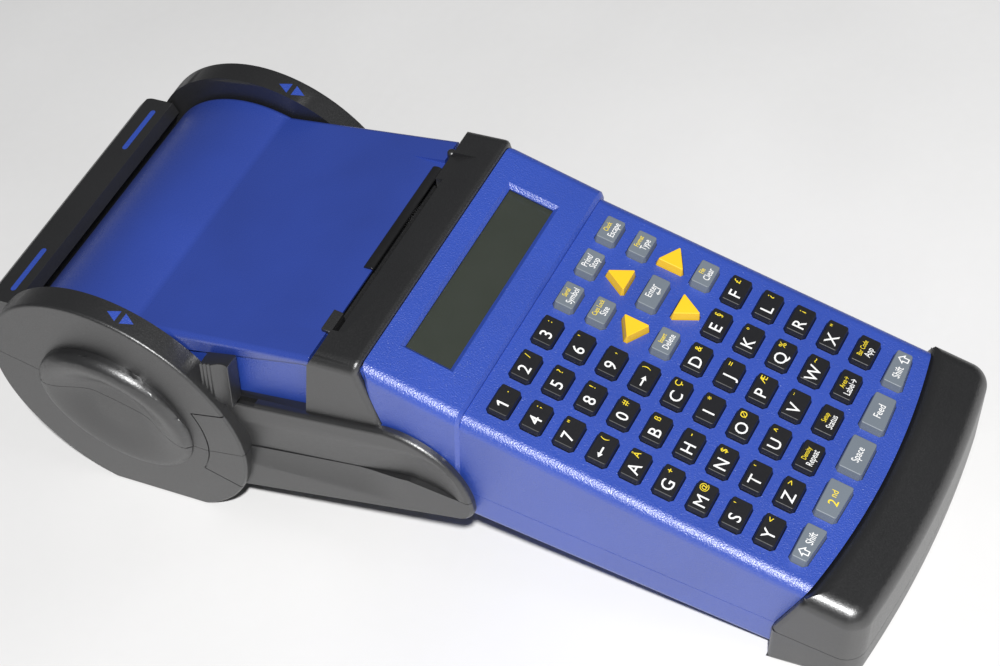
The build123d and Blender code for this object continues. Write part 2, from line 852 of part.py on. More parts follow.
def cover_latch():
    """Finger block with a ribbed top, a raised rib and a foot in the rail."""
    front, back, top = latch_y - 6.5, latch_y + 9.5, 25.2
    rest = 0.5 * latch_clear
    side = profile((front, rim_z(front) + rest), (back, rim_z(back) + rest), (back + 2.0, 10.0), (back - 0.5, 20.5),
                   (back - 6.0, top - 0.2), (latch_y - 1.0, top), (front + 0.5, rim_z(front) + 10.0))
    rib = profile((front + 1.5, 8.5), (back - 1.5, 3.6), (back + 1.0, 10.0), (latch_y, 22.0))
    body = slab(side, -latch_outer, -latch_inner) + slab(rib, -latch_outer - latch_rib, -latch_outer + 0.2)
    body -= rod(pod_y, pod_z, pod_radius + 0.4, -beyond, beyond)
    for index in range(latch_grips):
        grip_y = latch_y - 1.5 + latch_grip_pitch * index
        body -= rod(grip_y, top, 0.6, -latch_outer - 1, 0)
    return body + latch_slot(0, 0)


def lower_side():
    """Lower half of a pod and rail, fused to the base."""
    side = rail_solid(case_joint_y + 0.6, base_half_width - 0.5) + pod_solid()
    return side - slab(seam_profile(0), 0, beyond)


def rear_block():
    """Rear wall of the base and the bar above it, outside the tub circle."""
    front_y = pod_y + 20
    back = profile((front_y, -4.0), (164.5, -4.0), (175.5, -6.4), (177.2, -8.6), (177.2, -24.0), (173.0, -40.0),
                   (front_y, -62.0))
    wall = slab(back, -bar_half_width, bar_half_width)
    ends = [e for e in wall.edges().filter_by(Axis.Z) if e.center().Y > 177]
    return fillet(ends, bar_corner)


def printer_base():
    front_y = case_joint_y + parting_gap
    rear_y = pod_y - 30
    belly = slab(profile((front_y, 0), (front_y, under_z(case_joint_y)), (rear_y, under_z(rear_y)), (rear_y, 0)),
                 -base_half_width, base_half_width)
    tub = rod(pod_y, pod_z, tub_outer, -pod_inner, pod_inner) + rear_block()
    tub = split(tub, bisect_by=TABLE.offset(foot_height), keep=Keep.TOP)
    tub &= block(-beyond, beyond, -beyond, beyond, -beyond, tub_top)
    base = belly + tub + both_sides(lower_side())
    floor = case_wall / math.cos(math.atan(under_fall))
    wall_y = front_y + case_wall
    base -= slab(profile((wall_y, 1), (wall_y, under_z(wall_y) + floor), (100, under_z(100) + floor), (100, 1)),
                 -base_cavity, base_cavity)
    base -= rod(pod_y, pod_z, tub_inner, -tub_half_width, tub_half_width)
    base += both_sides(rod(pod_y, pod_z, stub_radius, tub_half_width - stub_length, pod_inner - 0.1))
    base -= rod(pod_y, pod_z, spindle_radius + running_gap, -pod_inner - 0.5, pod_inner + 0.5)
    base += chassis_posts()
    return base - foot_solids(screw_gap)


def chassis_posts():
    posts = Part()
    for side in (-1, 1):
        for y in (57.0, 74.0):
            posts += post(side * 28.0, y, chassis_post, under_z(y) + 1, chassis_foot - seat_gap)
    return posts


def foot_solids(grow=0.0):
    """Rubber pads let into the flats under the pods."""
    pads = Part()
    for side in (-1, 1):
        pad = SlotOverall(foot_length + 2 * grow, foot_width + 2 * grow, rotation=90)
        pads += Pos(side * foot_x, 0, 0) * extrude(pad, amount=foot_height + foot_recess + grow)
    return TABLE * pads


def rear_bar():
    bar = rear_block() & block(-beyond, beyond, 0, beyond, tub_top + bar_gap, beyond)
    bar -= rod(pod_y, pod_z, tub_inner + 1.0, -beyond, beyond)
    groove = profile((163.4, -8.0), (166.5, -3.0), (160.0, -3.0))
    return bar - slab(groove, -beyond, beyond)


def cover_section(drop):
    """Flat run and round bulge of the cover's skin, moved in by the drop."""
    tilt = math.atan(cover_fall)
    radius = cover_radius - drop
    front = (cover_front_y, cover_height - drop / math.cos(tilt))
    reach = (front[0] - pod_y) * math.sin(tilt) + (front[1] - pod_z) * math.cos(tilt)
    start = 90 - math.degrees(tilt - math.acos(reach / radius))
    middle = (start + cover_rear_angle) / 2
    bulge = ThreePointArc(on_pod(radius, start), on_pod(radius, middle), on_pod(radius, cover_rear_angle))
    return Polyline(front, on_pod(radius, start)), bulge


def cover_skin():
    """Top wall of the cover: the strip between its outer and inner curves."""
    flat, bulge = cover_section(0)
    inner_flat, inner_bulge = cover_section(cover_wall)
    rear = Line(bulge @ 1, inner_bulge @ 1)
    front = Line(inner_flat @ 0, flat @ 0)
    strip = make_face(Plane.YZ * (flat + bulge + rear + inner_bulge + inner_flat + front))
    skin = slab(strip, -cover_half_width, cover_half_width)
    outer = [curve @ 0.5 for curve in (flat, bulge)]
    rims = []
    for edge in skin.edges():
        middle = edge @ 0.5
        on_outer = any(math.hypot(middle.Y - point.X, middle.Z - point.Y) < 0.01 for point in outer)
        if on_outer and abs(abs(middle.X) - cover_half_width) < 0.01:
            rims.append(edge)
    return fillet(rims, cover_edge_round)


def cover_skirt():
    """Side lip of the flat part and the round ear that turns on the stub."""
    drop = cover_edge_round / math.cos(math.atan(cover_fall))
    start_y = cover_front_y + 1.5
    back_y = pod_y - 0.5 * cover_radius
    lip = profile((start_y, cover_z(start_y) - drop), (lip_start_y, lip_height), (back_y, lip_z(back_y)),
                  (back_y, cover_z(back_y) - drop))
    low = cover_half_width - cover_side
    ear = rod(pod_y, pod_z, cover_radius - cover_edge_round, low, cover_half_width)
    ear -= block(0, beyond, 0, beyond, -beyond, pod_z - ear_drop)
    ear += rod(pod_y, pod_z, hub_radius, low, cover_half_width)
    return slab(lip, low, cover_half_width) + ear - rod(pod_y, pod_z, stub_radius + running_gap, 0, beyond)


def roll_cover():
    return cover_skin() + both_sides(cover_skirt()) - facet()


def facet_z(y):
    """Shallow slope on the cover's front edge, where the tape comes out."""
    return cover_z(y) - facet_depth * (facet_back - y) / (facet_back - cover_front_y)


def facet():
    front = cover_front_y - 2
    cut = profile((facet_back, cover_z(facet_back)), (front, facet_z(front)), (front, beyond), (facet_back, beyond))
    return slab(cut, facet_left, facet_right)


def tear_plate():
    front = cover_front_y - plate_overhang
    back = cover_front_y + plate_depth
    top = seat_gap + plate_sheet
    side = profile((front, facet_z(front) + seat_gap), (back, facet_z(back) + seat_gap), (back, facet_z(back) + top),
                   (front + plate_sheet, facet_z(front) + 1.5 * top), (front, facet_z(front) + top))
    return slab(side, plate_left, plate_right)


def label_roll():
    body = rod(pod_y, pod_z, roll_radius, roll_left, roll_left + roll_width)
    return body - rod(pod_y, pod_z, core_radius, -beyond, beyond)


def roll_holders():
    """Flanged cores that carry the roll on the spindle."""
    holders = Part()
    for edge, way in ((roll_left - holder_gap, 1), (roll_left + roll_width + holder_gap, -1)):
        back = edge - way * holder_flange
        holder = rod(pod_y, pod_z, holder_radius, back, edge)
        holder += rod(pod_y, pod_z, core_radius - running_gap, back, edge + way * core_length)
        holder -= rod(pod_y, pod_z, core_radius - core_wall, edge + way, edge + way * (core_length - core_wall))
        holder -= rod(pod_y, pod_z, spindle_radius + running_gap, -beyond, beyond)
        holders += holder
    return holders


def roll_spindle():
    return rod(pod_y, pod_z, spindle_radius, -tub_half_width, tub_half_width)


def gear_centres():
    reach = gear_module * (platen_teeth + idler_teeth) / 2
    idler = (platen_y + idler_offset, platen_z - math.sqrt(reach ** 2 - idler_offset ** 2))
    pinion = (idler[0], idler[1] - gear_module * (idler_teeth + pinion_teeth) / 2)
    return idler, pinion


def gear(centre, teeth, bore, phase):
    """Spur gear with straight-flanked teeth, thinned by the backlash."""
    pitch = gear_module * teeth / 2
    tip = pitch + 0.9 * gear_module
    root = pitch - 1.2 * gear_module
    points = []
    for tooth in range(teeth):
        middle = 2 * math.pi * (tooth + phase) / teeth
        for radius, share in ((root, -0.78), (tip, -0.26), (tip, 0.26), (root, 0.78)):
            half = (share * gear_module * math.pi / 2 - math.copysign(gear_backlash / 2, share)) / pitch
            points.append((radius * math.cos(middle + half), radius * math.sin(middle + half)))
    face = Plane.YZ * Pos(*centre) * make_face(Polyline(*points, close=True))
    wheel = slab(face, gear_start, gear_start + gear_width)
    return wheel - rod(*centre, bore, 0, beyond)


def mesh_phase(driver, driver_teeth, driver_phase, follower, teeth):
    """Turn of a gear, in teeth, that puts a gap where the driver has a tooth."""
    angle = math.atan2(follower[1] - driver[1], follower[0] - driver[0])
    at_driver = angle / (2 * math.pi) * driver_teeth - driver_phase
    at_follower = (angle + math.pi) / (2 * math.pi) * teeth
    return (at_follower + at_driver + 0.5) % 1


def mech_chassis():
    """Two side plates, a floor and a cross bar, bored for the platen and the pin."""
    front, back, foot = 46.0, 78.0, chassis_foot
    side = profile((front, foot + 6), (front + 7, foot), (back, foot), (back, 18), (66, 26), (48, 26), (front, 24))
    frame = both_sides(slab(side, plate_inner, plate_inner + plate_thickness))
    frame += block(-plate_inner, plate_inner, front + 7.5, back, foot, foot + plate_thickness)
    frame += block(-plate_inner, plate_inner, front, front + plate_thickness, 8, 24)
    idler, pinion = gear_centres()
    reach = plate_inner + plate_thickness
    frame += rod(*idler, shaft_radius, plate_inner, gear_start + gear_width + 0.4)
    frame -= rod(platen_y, platen_z, shaft_radius + running_gap, -beyond, beyond)
    frame -= rod(head_pivot_y, head_pivot_z, head_pin_radius + running_gap, -beyond, beyond)
    return frame - rod(*pinion, 3 * motor_shaft, 0, reach + 1)


def platen_roller():
    roller = rod(platen_y, platen_z, platen_radius, -platen_half_length, platen_half_length)
    return roller - rod(platen_y, platen_z, shaft_radius, -beyond, beyond)


def platen_shaft():
    left = plate_inner + plate_thickness + 0.6
    return rod(platen_y, platen_z, shaft_radius, -left, gear_start + gear_width + 0.6)


def drive_motor():
    idler, pinion = gear_centres()
    face = plate_inner - seat_gap
    can = rod(*pinion, motor_radius, face - motor_length, face)
    return can + rod(*pinion, motor_shaft, face - 1, gear_start + gear_width + 0.4)


def head_bracket():
    front = head_back + head_plate
    plate = block(-head_half_width, head_half_width, head_back, front, 4.0, 25.0)
    ear = profile((head_back, 4.0), (front, 4.0), (front, 12.0), (head_back, 12.0), (48.6, 1.5), (48.8, -2.2),
                  (52.2, -2.2))
    ears = both_sides(slab(ear, head_half_width - 2, head_half_width))
    return plate + ears - rod(head_pivot_y, head_pivot_z, head_pin_radius + running_gap, -beyond, beyond)


def print_head():
    back = head_back + head_plate
    front = platen_y - platen_radius - head_gap
    face = profile((back, 13.0), (front - 0.5, 13.0), (front, 16.0), (front, 23.0), (front - 0.5, 25.0), (back, 25.0))
    return slab(face, head_left, head_half_width)


def head_pin():
    reach = plate_inner + plate_thickness + 0.5
    return rod(head_pivot_y, head_pivot_z, head_pin_radius, -reach, reach)


def head_spring():
    """Leaf on the cross bar that pushes the head against the platen."""
    root, tip, sheet = 47.55, 50.7, 0.5
    leaf = profile((root, 10.0), (root + sheet, 10.0), (root + sheet, 13.0), (tip + sheet, 19.0), (tip + sheet, 22.0),
                   (tip, 22.0), (tip, 19.2), (root, 13.2))
    return slab(leaf, -6.0, 6.0)


def ribbon_frame():
    """Side plates that carry both ribbon spools, with a tie rod between them."""
    plate = Plane.YZ * Pos(supply_y, supply_z) * Circle(6.0)
    plate += Plane.YZ * Pos(takeup_y, takeup_z) * Circle(4.0)
    plate += profile((supply_y, supply_z + 5), (supply_y + 2, supply_z - 5), (66, -7.0), (takeup_y + 2, takeup_z - 3),
                     (takeup_y - 2, takeup_z + 3), (62, -1.5))
    inner = ribbon_half_width + 0.5
    frame = both_sides(slab(plate, inner, inner + ribbon_plate))
    frame += rod(*ribbon_tie, 1.6, -inner - 0.5, inner + 0.5)
    for centre in ((supply_y, supply_z), (takeup_y, takeup_z)):
        frame -= rod(*centre, spool_axle + running_gap, -beyond, beyond)
    return frame


def spool(centre, radius):
    wound = ribbon_half_width - 3
    axle = ribbon_half_width + 2.4
    return rod(*centre, radius, -wound, wound) + rod(*centre, spool_axle, -axle, axle)


def battery_pack():
    pack = Part()
    z = -case_depth + door_thickness + 2 * door_gap + cell_radius
    for index in range(cell_count):
        x = (index - (cell_count - 1) / 2) * cell_pitch
        pack += Pos(x, battery_y, z) * Rot(90, 0, 0) * Cylinder(cell_radius, cell_length)
    return pack


def battery_door():
    plate = door_plate(door_thickness)
    for index in range(door_ridges):
        ridge_y = battery_y - cell_length / 2 + door_ridge_pitch * index
        plate -= Pos(0, ridge_y, -case_depth) * Rot(0, 90, 0) * Cylinder(0.6, 24.0)
    return plate


def dc_jack():
    """Barrel socket with its centre pin and the block that holds it."""
    face = half_width
    tube = rod(jack_y, jack_z, jack_radius, face - jack_length, face)
    tube -= rod(jack_y, jack_z, jack_bore, face - jack_length + 1.5, face + 1)
    tube += rod(jack_y, jack_z, 1.0, face - jack_length + 1, face - 1)
    half = jack_radius + 0.5
    return tube + block(face - jack_length - 2.2, face - jack_length + 0.1, jack_y - half, jack_y + half,
                        floor_wall + seat_gap - case_depth, jack_z + half)


def housing_screws():
    screws = Part()
    seat = floor_wall - case_depth
    for x, y in screw_places():
        screws += post(x, y, screw_head_radius, seat - screw_head_height, seat)
        screws += post(x, y, screw_radius, seat - 1, seat + screw_length + 5)
    return screws


def display_lens():
    sheet = Rectangle(window_width + 2 * lens_margin, window_length + 2 * lens_margin)
    return WINDOW * extrude(Pos(0, 0, -display_wall - seat_gap) * sheet, amount=-lens_thickness)


def display_module():
    top = -display_wall - 2 * seat_gap - lens_thickness
    sheet = Rectangle(window_width + 2 * module_margin, window_length + module_margin)
    return WINDOW * extrude(Pos(0, 0, top) * sheet, amount=-module_thickness)


def deck_sheet(half, length, top, thickness):
    """Sheet under the deck that starts behind the first key row."""
    return extrude(Pos(0, board_back - length / 2, top) * Rectangle(2 * half, length), amount=-thickness)


def keypad_mat():
    return DECK * deck_sheet(mat_half_width, 3.2 - bottom_front_u, mat_w(), mat_thickness - seat_gap)


def main_board():
    board = deck_sheet(board_half_width, 0.5 - bottom_front_u, board_w(), board_thickness)
    under = board_w() - board_thickness
    for x, u, width, length in ((-20, -30, 16, 16), (12, -24, 12, 20), (20, -62, 18, 12), (-22, -70, 14, 10)):
        board += Pos(x, u, under) * Box(width, length, 2 * chip_height)
    return DECK * board


def build():
    """Every node's solid in the case frame."""
    forms = key_forms()
    idler, pinion = gear_centres()
    platen = (platen_y, platen_z)
    idler_phase = mesh_phase(platen, platen_teeth, 0.0, idler, idler_teeth)
    pinion_phase = mesh_phase(idler, idler_teeth, idler_phase, pinion, pinion_teeth)
    makers = [lower_housing, bumper_upper, bumper_lower, neck_band, side_frame_left, printer_base, rear_bar,
              roll_cover, tear_plate, cover_latch, edge_guide, label_roll, roll_holders, roll_spindle, mech_chassis,
              platen_roller, platen_shaft, drive_motor, print_head, head_bracket, head_pin, head_spring, ribbon_frame,
              battery_pack, battery_door, dc_jack, housing_screws, display_lens, display_module, keypad_mat, main_board]
    nodes = {maker.__name__: maker() for maker in makers}
    nodes["upper_housing"] = upper_housing(forms)
    nodes["side_frame_right"] = upper_side_frame()
    nodes["base_feet"] = foot_solids()
    nodes["platen_gear"] = gear(platen, platen_teeth, shaft_radius, 0.0)
    nodes["idler_gear"] = gear(idler, idler_teeth, shaft_radius + running_gap, idler_phase)
    nodes["motor_pinion"] = gear(pinion, pinion_teeth, motor_shaft + running_gap, pinion_phase)
    nodes["ribbon_supply_spool"] = spool((supply_y, supply_z), supply_radius)
    nodes["ribbon_takeup_spool"] = spool((takeup_y, takeup_z), takeup_radius)
    for name, cells in forms.items():
        nodes[name] = Part() + [key_solid(*cell) for cell in cells]
    return nodes


def stand(nodes):
    """Location that stands the case on the table, centred under its outline."""
    tilt = Rot(math.degrees(STAND_TILT), 0, 0)
    boxes = [(tilt * shape).bounding_box() for shape in nodes.values()]
    low_y = min(box.min.Y for box in boxes)
    high_y = max(box.max.Y for box in boxes)
    low_z = min(box.min.Z for box in boxes)
    return Pos(0, -(low_y + high_y) / 2, -low_z) * tilt


if __name__ == "__main__":
    os.makedirs("parts", exist_ok=True)
    nodes = build()
    place = stand(nodes)
    print("case frame origin", place.position, "tilt", round(math.degrees(STAND_TILT), 3))
    for name, shape in nodes.items():
        export_step(place * shape, f"parts/{name}.step")
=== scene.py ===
# %% [markdown]
# A hand-held label maker, dressed for its portrait.
# The engineering model arrives as a fixed frame: every part is already in its place and
# at its size, in metres. This lesson gives those parts rounded edges, moulded plastics,
# printed key legends and a table to stand on.

# %% Load the frame
import json
import math

import bmesh
import bpy
from mathutils import Matrix, Vector


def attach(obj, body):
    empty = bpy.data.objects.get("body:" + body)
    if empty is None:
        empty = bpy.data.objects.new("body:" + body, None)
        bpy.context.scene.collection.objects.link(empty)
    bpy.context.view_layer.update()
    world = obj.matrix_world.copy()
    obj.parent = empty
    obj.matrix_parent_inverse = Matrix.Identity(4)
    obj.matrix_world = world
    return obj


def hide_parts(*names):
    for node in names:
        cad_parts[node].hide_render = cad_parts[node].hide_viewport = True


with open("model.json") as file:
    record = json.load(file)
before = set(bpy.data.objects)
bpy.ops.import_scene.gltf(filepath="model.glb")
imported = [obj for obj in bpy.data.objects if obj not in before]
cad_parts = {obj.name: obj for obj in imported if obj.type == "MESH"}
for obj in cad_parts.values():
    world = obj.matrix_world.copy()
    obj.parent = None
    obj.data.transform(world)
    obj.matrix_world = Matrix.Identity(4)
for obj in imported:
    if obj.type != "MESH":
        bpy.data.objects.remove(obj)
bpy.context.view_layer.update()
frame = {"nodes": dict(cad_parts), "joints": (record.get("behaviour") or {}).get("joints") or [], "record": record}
nodes = frame["nodes"]
joints = {joint["name"]: joint for joint in frame["joints"]}
bodies = frame["record"]["behaviour"]["bodies"]
body_of = {node: body for body, members in bodies.items() for node in members}
slot_of = {part["node"]: part["material_slot"] for part in frame["record"]["subparts"]}

# %% [markdown]
# The case stands tilted on its roll pods, so measuring in table coordinates would be
# awkward. Two matrices do the sums instead: CASE turns millimetres of the case, whose
# parting plane is level, into table metres, and DECK does the same for the sloping
# keyboard, where x runs right, u runs up the slope and w stands out of the deck. Both are
# hung on the joints of the frame, so they follow the model.

# %% Case and deck coordinates
MM = 0.001
roll_in_case = Vector((0, 126.2, -25.5))
deck_slope = math.radians(6.4)
deck_height = 32.7

roll_axis = Vector(joints["cover_hinge"]["pos_m"])
key_push = Vector(joints["key_enter_press"]["axis"])
deck_angle = math.atan2(key_push.y, -key_push.z)
case_tilt = deck_angle - deck_slope
CASE = (Matrix.Translation(roll_axis) @ Matrix.Rotation(case_tilt, 4, "X")
        @ Matrix.Scale(MM, 4) @ Matrix.Translation(-roll_in_case))
DECK = (Matrix.Translation(CASE @ Vector((0, 0, deck_height)))
        @ Matrix.Rotation(deck_angle, 4, "X") @ Matrix.Scale(MM, 4))
print("deck leans", round(math.degrees(deck_angle), 2), "degrees to the table")

# %% [markdown]
# Every finish on this object is moulded plastic, rubber, paper or metal, and each is a
# small node tree on object coordinates: a fine noise for the grain of the mould, which
# drives a bump and the roughness, and a slow one that shifts the colour by a few
# percent, as pigment does. The helpers below keep those trees short.

# %% Helpers for materials
pigment_mm = 30
rough_dip = 0.05
rough_rise = 0.08


def new_finish(name):
    finish = bpy.data.materials.new(name)
    finish.use_nodes = True
    tree = finish.node_tree
    shader = tree.nodes["Principled BSDF"]
    place = tree.nodes.new("ShaderNodeTexCoord")
    return finish, tree, shader, place


def noise(tree, place, size_mm, detail=2.0):
    """Noise whose blotches are about size_mm across."""
    node = tree.nodes.new("ShaderNodeTexNoise")
    node.inputs["Scale"].default_value = 1 / (size_mm * MM)
    node.inputs["Detail"].default_value = detail
    tree.links.new(place.outputs["Object"], node.inputs["Vector"])
    return node.outputs["Fac"]


def spread(tree, value, low, high, start=0.3, end=0.7):
    """Maps the middle of a noise to the range from low to high."""
    node = tree.nodes.new("ShaderNodeMapRange")
    node.inputs["From Min"].default_value = start
    node.inputs["From Max"].default_value = end
    node.inputs["To Min"].default_value = low
    node.inputs["To Max"].default_value = high
    tree.links.new(value, node.inputs["Value"])
    return node.outputs["Result"]


def shade(tree, value, dark, light):
    """Colour between two tones, led by a value from 0 to 1."""
    node = tree.nodes.new("ShaderNodeMix")
    node.data_type = "RGBA"
    node.inputs["A"].default_value = (*dark, 1)
    node.inputs["B"].default_value = (*light, 1)
    tree.links.new(value, node.inputs["Factor"])
    return node.outputs["Result"]


def grain(tree, shader, height, depth_mm):
    """Bump of a depth in millimetres, led by a value from 0 to 1."""
    node = tree.nodes.new("ShaderNodeBump")
    node.inputs["Distance"].default_value = depth_mm * MM
    node.inputs["Strength"].default_value = 1.0
    tree.links.new(height, node.inputs["Height"])
    tree.links.new(node.outputs["Normal"], shader.inputs["Normal"])


def moulded(name, colour, grain_mm, depth_mm, roughness, shift, sheen=0.5, index=1.5, metal=0.0):
    """Moulded plastic or rubber with a spark-eroded grain."""
    finish, tree, shader, place = new_finish(name)
    dark = [c * (1 - shift) for c in colour]
    light = [c * (1 + shift) for c in colour]
    slow = spread(tree, noise(tree, place, pigment_mm), 0, 1)
    tree.links.new(shade(tree, slow, dark, light), shader.inputs["Base Color"])
    fine = noise(tree, place, grain_mm, detail=3)
    rough = spread(tree, fine, roughness - rough_dip, roughness + rough_rise)
    tree.links.new(rough, shader.inputs["Roughness"])
    grain(tree, shader, fine, depth_mm)
    shader.inputs["Specular IOR Level"].default_value = sheen
    shader.inputs["IOR"].default_value = index
    shader.inputs["Metallic"].default_value = metal
    return finish


# %% [markdown]
# The blue shell is a textured plastic with tiny glints, the black body is the same kind
# of mould with a satin surface, and the bumper is a softer, finer rubber. Keys are
# smoother, and the grey and yellow ones only change the pigment. Print on the keys is ink
# with hardly any grain.

# %% Plastics and rubbers
SHINE = {"sheen": 1.0, "index": 1.6}
finishes = {
    "blue_case": moulded("blue_shell", (0.024, 0.066, 0.385), 0.48, 0.2, 0.33, shift=0.06, **SHINE),
    "black_body": moulded("black_satin", (0.011, 0.011, 0.0115), 0.42, 0.07, 0.38, shift=0.12, **SHINE),
    "black_rubber": moulded("bumper_rubber", (0.011, 0.011, 0.0115), 0.4, 0.045, 0.34, shift=0.12, **SHINE),
    "key_black": moulded("key_black", (0.009, 0.009, 0.011), 0.4, 0.012, 0.45, shift=0.1),
    "key_grey": moulded("key_grey", (0.15, 0.175, 0.205), 0.4, 0.012, 0.42, shift=0.05),
    "key_yellow": moulded("key_yellow", (0.86, 0.52, 0.02), 0.4, 0.012, 0.38, shift=0.04),
    "white_nylon": moulded("gear_nylon", (0.78, 0.77, 0.7), 0.8, 0.01, 0.35, shift=0.03),
    "head_ceramic": moulded("head_ceramic", (0.62, 0.6, 0.55), 1.2, 0.004, 0.18, shift=0.05),
    "ribbon_film": moulded("ribbon_film", (0.01, 0.01, 0.012), 3.0, 0.01, 0.2, shift=0.15),
    "circuit_board": moulded("board_green", (0.012, 0.12, 0.04), 1.5, 0.01, 0.3, shift=0.15),
    "cell_wrap": moulded("cell_wrap", (0.2, 0.21, 0.23), 2.0, 0.004, 0.22, shift=0.08),
    "dark_steel": moulded("blackened_steel", (0.04, 0.04, 0.042), 0.6, 0.01, 0.3, shift=0.2, metal=0.7),
}
# The cover's blue is darker than the shell's. Part of that is the cover's own pigment and part is painted shade,
# since the cover gets less light than the deck.
cover_blue = moulded("cover_blue", (0.022, 0.052, 0.3), 0.4, 0.06, 0.3, shift=0.06, **SHINE)
white_ink = moulded("white_ink", (0.8, 0.8, 0.79), 0.3, 0.003, 0.5, shift=0.03)
yellow_ink = moulded("yellow_ink", (0.8, 0.62, 0.03), 0.3, 0.003, 0.5, shift=0.04)
print("plastics:", ", ".join(f.name for f in finishes.values()))

# %% [markdown]
# Steel parts are drawn or rolled, so their grain is stretched along the part: a noise
# read through a mapping that squeezes two axes gives that brushed streak.

# %% Steel
streak_squeeze = (40, 900, 900)
streak_scale = 2.0
streak_depth_mm = 0.01


def brushed_steel():
    finish, tree, shader, place = new_finish("brushed_steel")
    stretch = tree.nodes.new("ShaderNodeMapping")
    stretch.inputs["Scale"].default_value = streak_squeeze
    tree.links.new(place.outputs["Object"], stretch.inputs["Vector"])
    streak = tree.nodes.new("ShaderNodeTexNoise")
    streak.inputs["Scale"].default_value = streak_scale
    tree.links.new(stretch.outputs["Vector"], streak.inputs["Vector"])
    value = streak.outputs["Fac"]
    tone = shade(tree, spread(tree, value, 0, 1), (0.42, 0.42, 0.43), (0.62, 0.62, 0.62))
    tree.links.new(tone, shader.inputs["Base Color"])
    tree.links.new(spread(tree, value, 0.25, 0.42), shader.inputs["Roughness"])
    grain(tree, shader, value, streak_depth_mm)
    shader.inputs["Metallic"].default_value = 1.0
    return finish


finishes["steel"] = brushed_steel()

# %% [markdown]
# Label stock is white paper wound on a core, so its ends show the turns as fine rings.
# The distance from the roll axis, folded back and forth, draws them on any cut of the roll.

# %% Label stock
turn_mm = 0.35
turn_depth_mm = 0.03
fibre_mm = 2


def vector_step(tree, operation, source, operand=None):
    node = tree.nodes.new("ShaderNodeVectorMath")
    node.operation = operation
    tree.links.new(source, node.inputs[0])
    if operand is not None:
        node.inputs[1].default_value = operand
    return node.outputs


def wound_paper():
    finish, tree, shader, place = new_finish("wound_paper")
    centred = vector_step(tree, "SUBTRACT", place.outputs["Object"], roll_axis)["Vector"]
    across = vector_step(tree, "MULTIPLY", centred, (0, 1, 1))["Vector"]
    radius = vector_step(tree, "LENGTH", across)["Value"]
    turns = tree.nodes.new("ShaderNodeMath")
    turns.operation = "PINGPONG"
    turns.inputs[1].default_value = turn_mm * MM
    tree.links.new(radius, turns.inputs[0])
    ring = spread(tree, turns.outputs["Value"], 0, 1, 0, turn_mm * MM)
    tree.links.new(shade(tree, ring, (0.68, 0.66, 0.6), (0.86, 0.85, 0.82)), shader.inputs["Base Color"])
    tree.links.new(spread(tree, noise(tree, place, fibre_mm), 0.6, 0.75), shader.inputs["Roughness"])
    grain(tree, shader, ring, turn_depth_mm)
    return finish


finishes["label_paper"] = wound_paper()

# %% [markdown]
# The display is a reflective liquid-crystal panel: olive-grey glass with a faint grid of
# dots where characters would stand. Over it lies a clear window, which only adds gloss.

# %% Display panel and its window
dot_mm = 0.62
dot_gap_mm = 0.05
dot_tone = (0.034, 0.041, 0.032, 1)
dot_other_tone = (0.035, 0.042, 0.033, 1)
dot_gap_tone = (0.042, 0.05, 0.039, 1)
cloud_tone = (0.05, 0.057, 0.046, 1)
cloud_mm = 22
cloud_share = 0.35
window_alpha = 0.12


def display_glass():
    finish, tree, shader, place = new_finish("display_olive")
    turn = tree.nodes.new("ShaderNodeMapping")
    turn.inputs["Rotation"].default_value = (-deck_angle, 0, 0)
    tree.links.new(place.outputs["Object"], turn.inputs["Vector"])
    dots = tree.nodes.new("ShaderNodeTexBrick")
    dots.offset = 0.0
    dots.inputs["Scale"].default_value = 1.0
    dots.inputs["Brick Width"].default_value = dot_mm * MM
    dots.inputs["Row Height"].default_value = dot_mm * MM
    dots.inputs["Mortar Size"].default_value = dot_gap_mm * MM
    dots.inputs["Color1"].default_value = dot_tone
    dots.inputs["Color2"].default_value = dot_other_tone
    dots.inputs["Mortar"].default_value = dot_gap_tone
    tree.links.new(turn.outputs["Vector"], dots.inputs["Vector"])
    cloud = spread(tree, noise(tree, place, cloud_mm), 0, cloud_share)
    mix = tree.nodes.new("ShaderNodeMix")
    mix.data_type = "RGBA"
    mix.inputs["B"].default_value = cloud_tone
    tree.links.new(cloud, mix.inputs["Factor"])
    tree.links.new(dots.outputs["Color"], mix.inputs["A"])
    tree.links.new(mix.outputs["Result"], shader.inputs["Base Color"])
    tree.links.new(spread(tree, noise(tree, place, 1.0), 0.28, 0.38), shader.inputs["Roughness"])
    return finish


def clear_window():
    finish, tree, shader, place = new_finish("clear_window")
    tint = shade(tree, spread(tree, noise(tree, place, 8), 0, 1), (0.05, 0.055, 0.045), (0.06, 0.065, 0.055))
    tree.links.new(tint, shader.inputs["Base Color"])
    tree.links.new(spread(tree, noise(tree, place, 3), 0.06, 0.12), shader.inputs["Roughness"])
    shader.inputs["Alpha"].default_value = window_alpha
    return finish


finishes["display_panel"] = display_glass()
finishes["clear_lens"] = clear_window()
print(len(finishes), "finishes for the record's slots")

# %% [markdown]
# New pieces are made as meshes whose points already lie where the part is, and are then
# tied to the body that they move with. A piece that stands for a part of the frame takes
# that part's body and finish.

# %% Helpers for pieces
soft_angle = 38
soft_steps = 3
flat_weight = 60


def plain_mesh(piece, name):
    """The evaluated mesh of a piece, free of its modifiers."""
    graph = bpy.context.evaluated_depsgraph_get()
    mesh = bpy.data.meshes.new_from_object(piece.evaluated_get(graph))
    mesh.name = name
    return mesh


def linked(name, data):
    piece = bpy.data.objects.new(name, data)
    bpy.context.scene.collection.objects.link(piece)
    return piece


def dress(piece, finish):
    piece.data.materials.clear()
    piece.data.materials.append(finish)
    return piece


def stand_in(name, mesh, node):
    """Links a new piece that stands for a node and moves with its body."""
    piece = linked(name, mesh)
    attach(piece, body_of[node])
    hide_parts(node)
    return dress(piece, finishes[slot_of[node]])


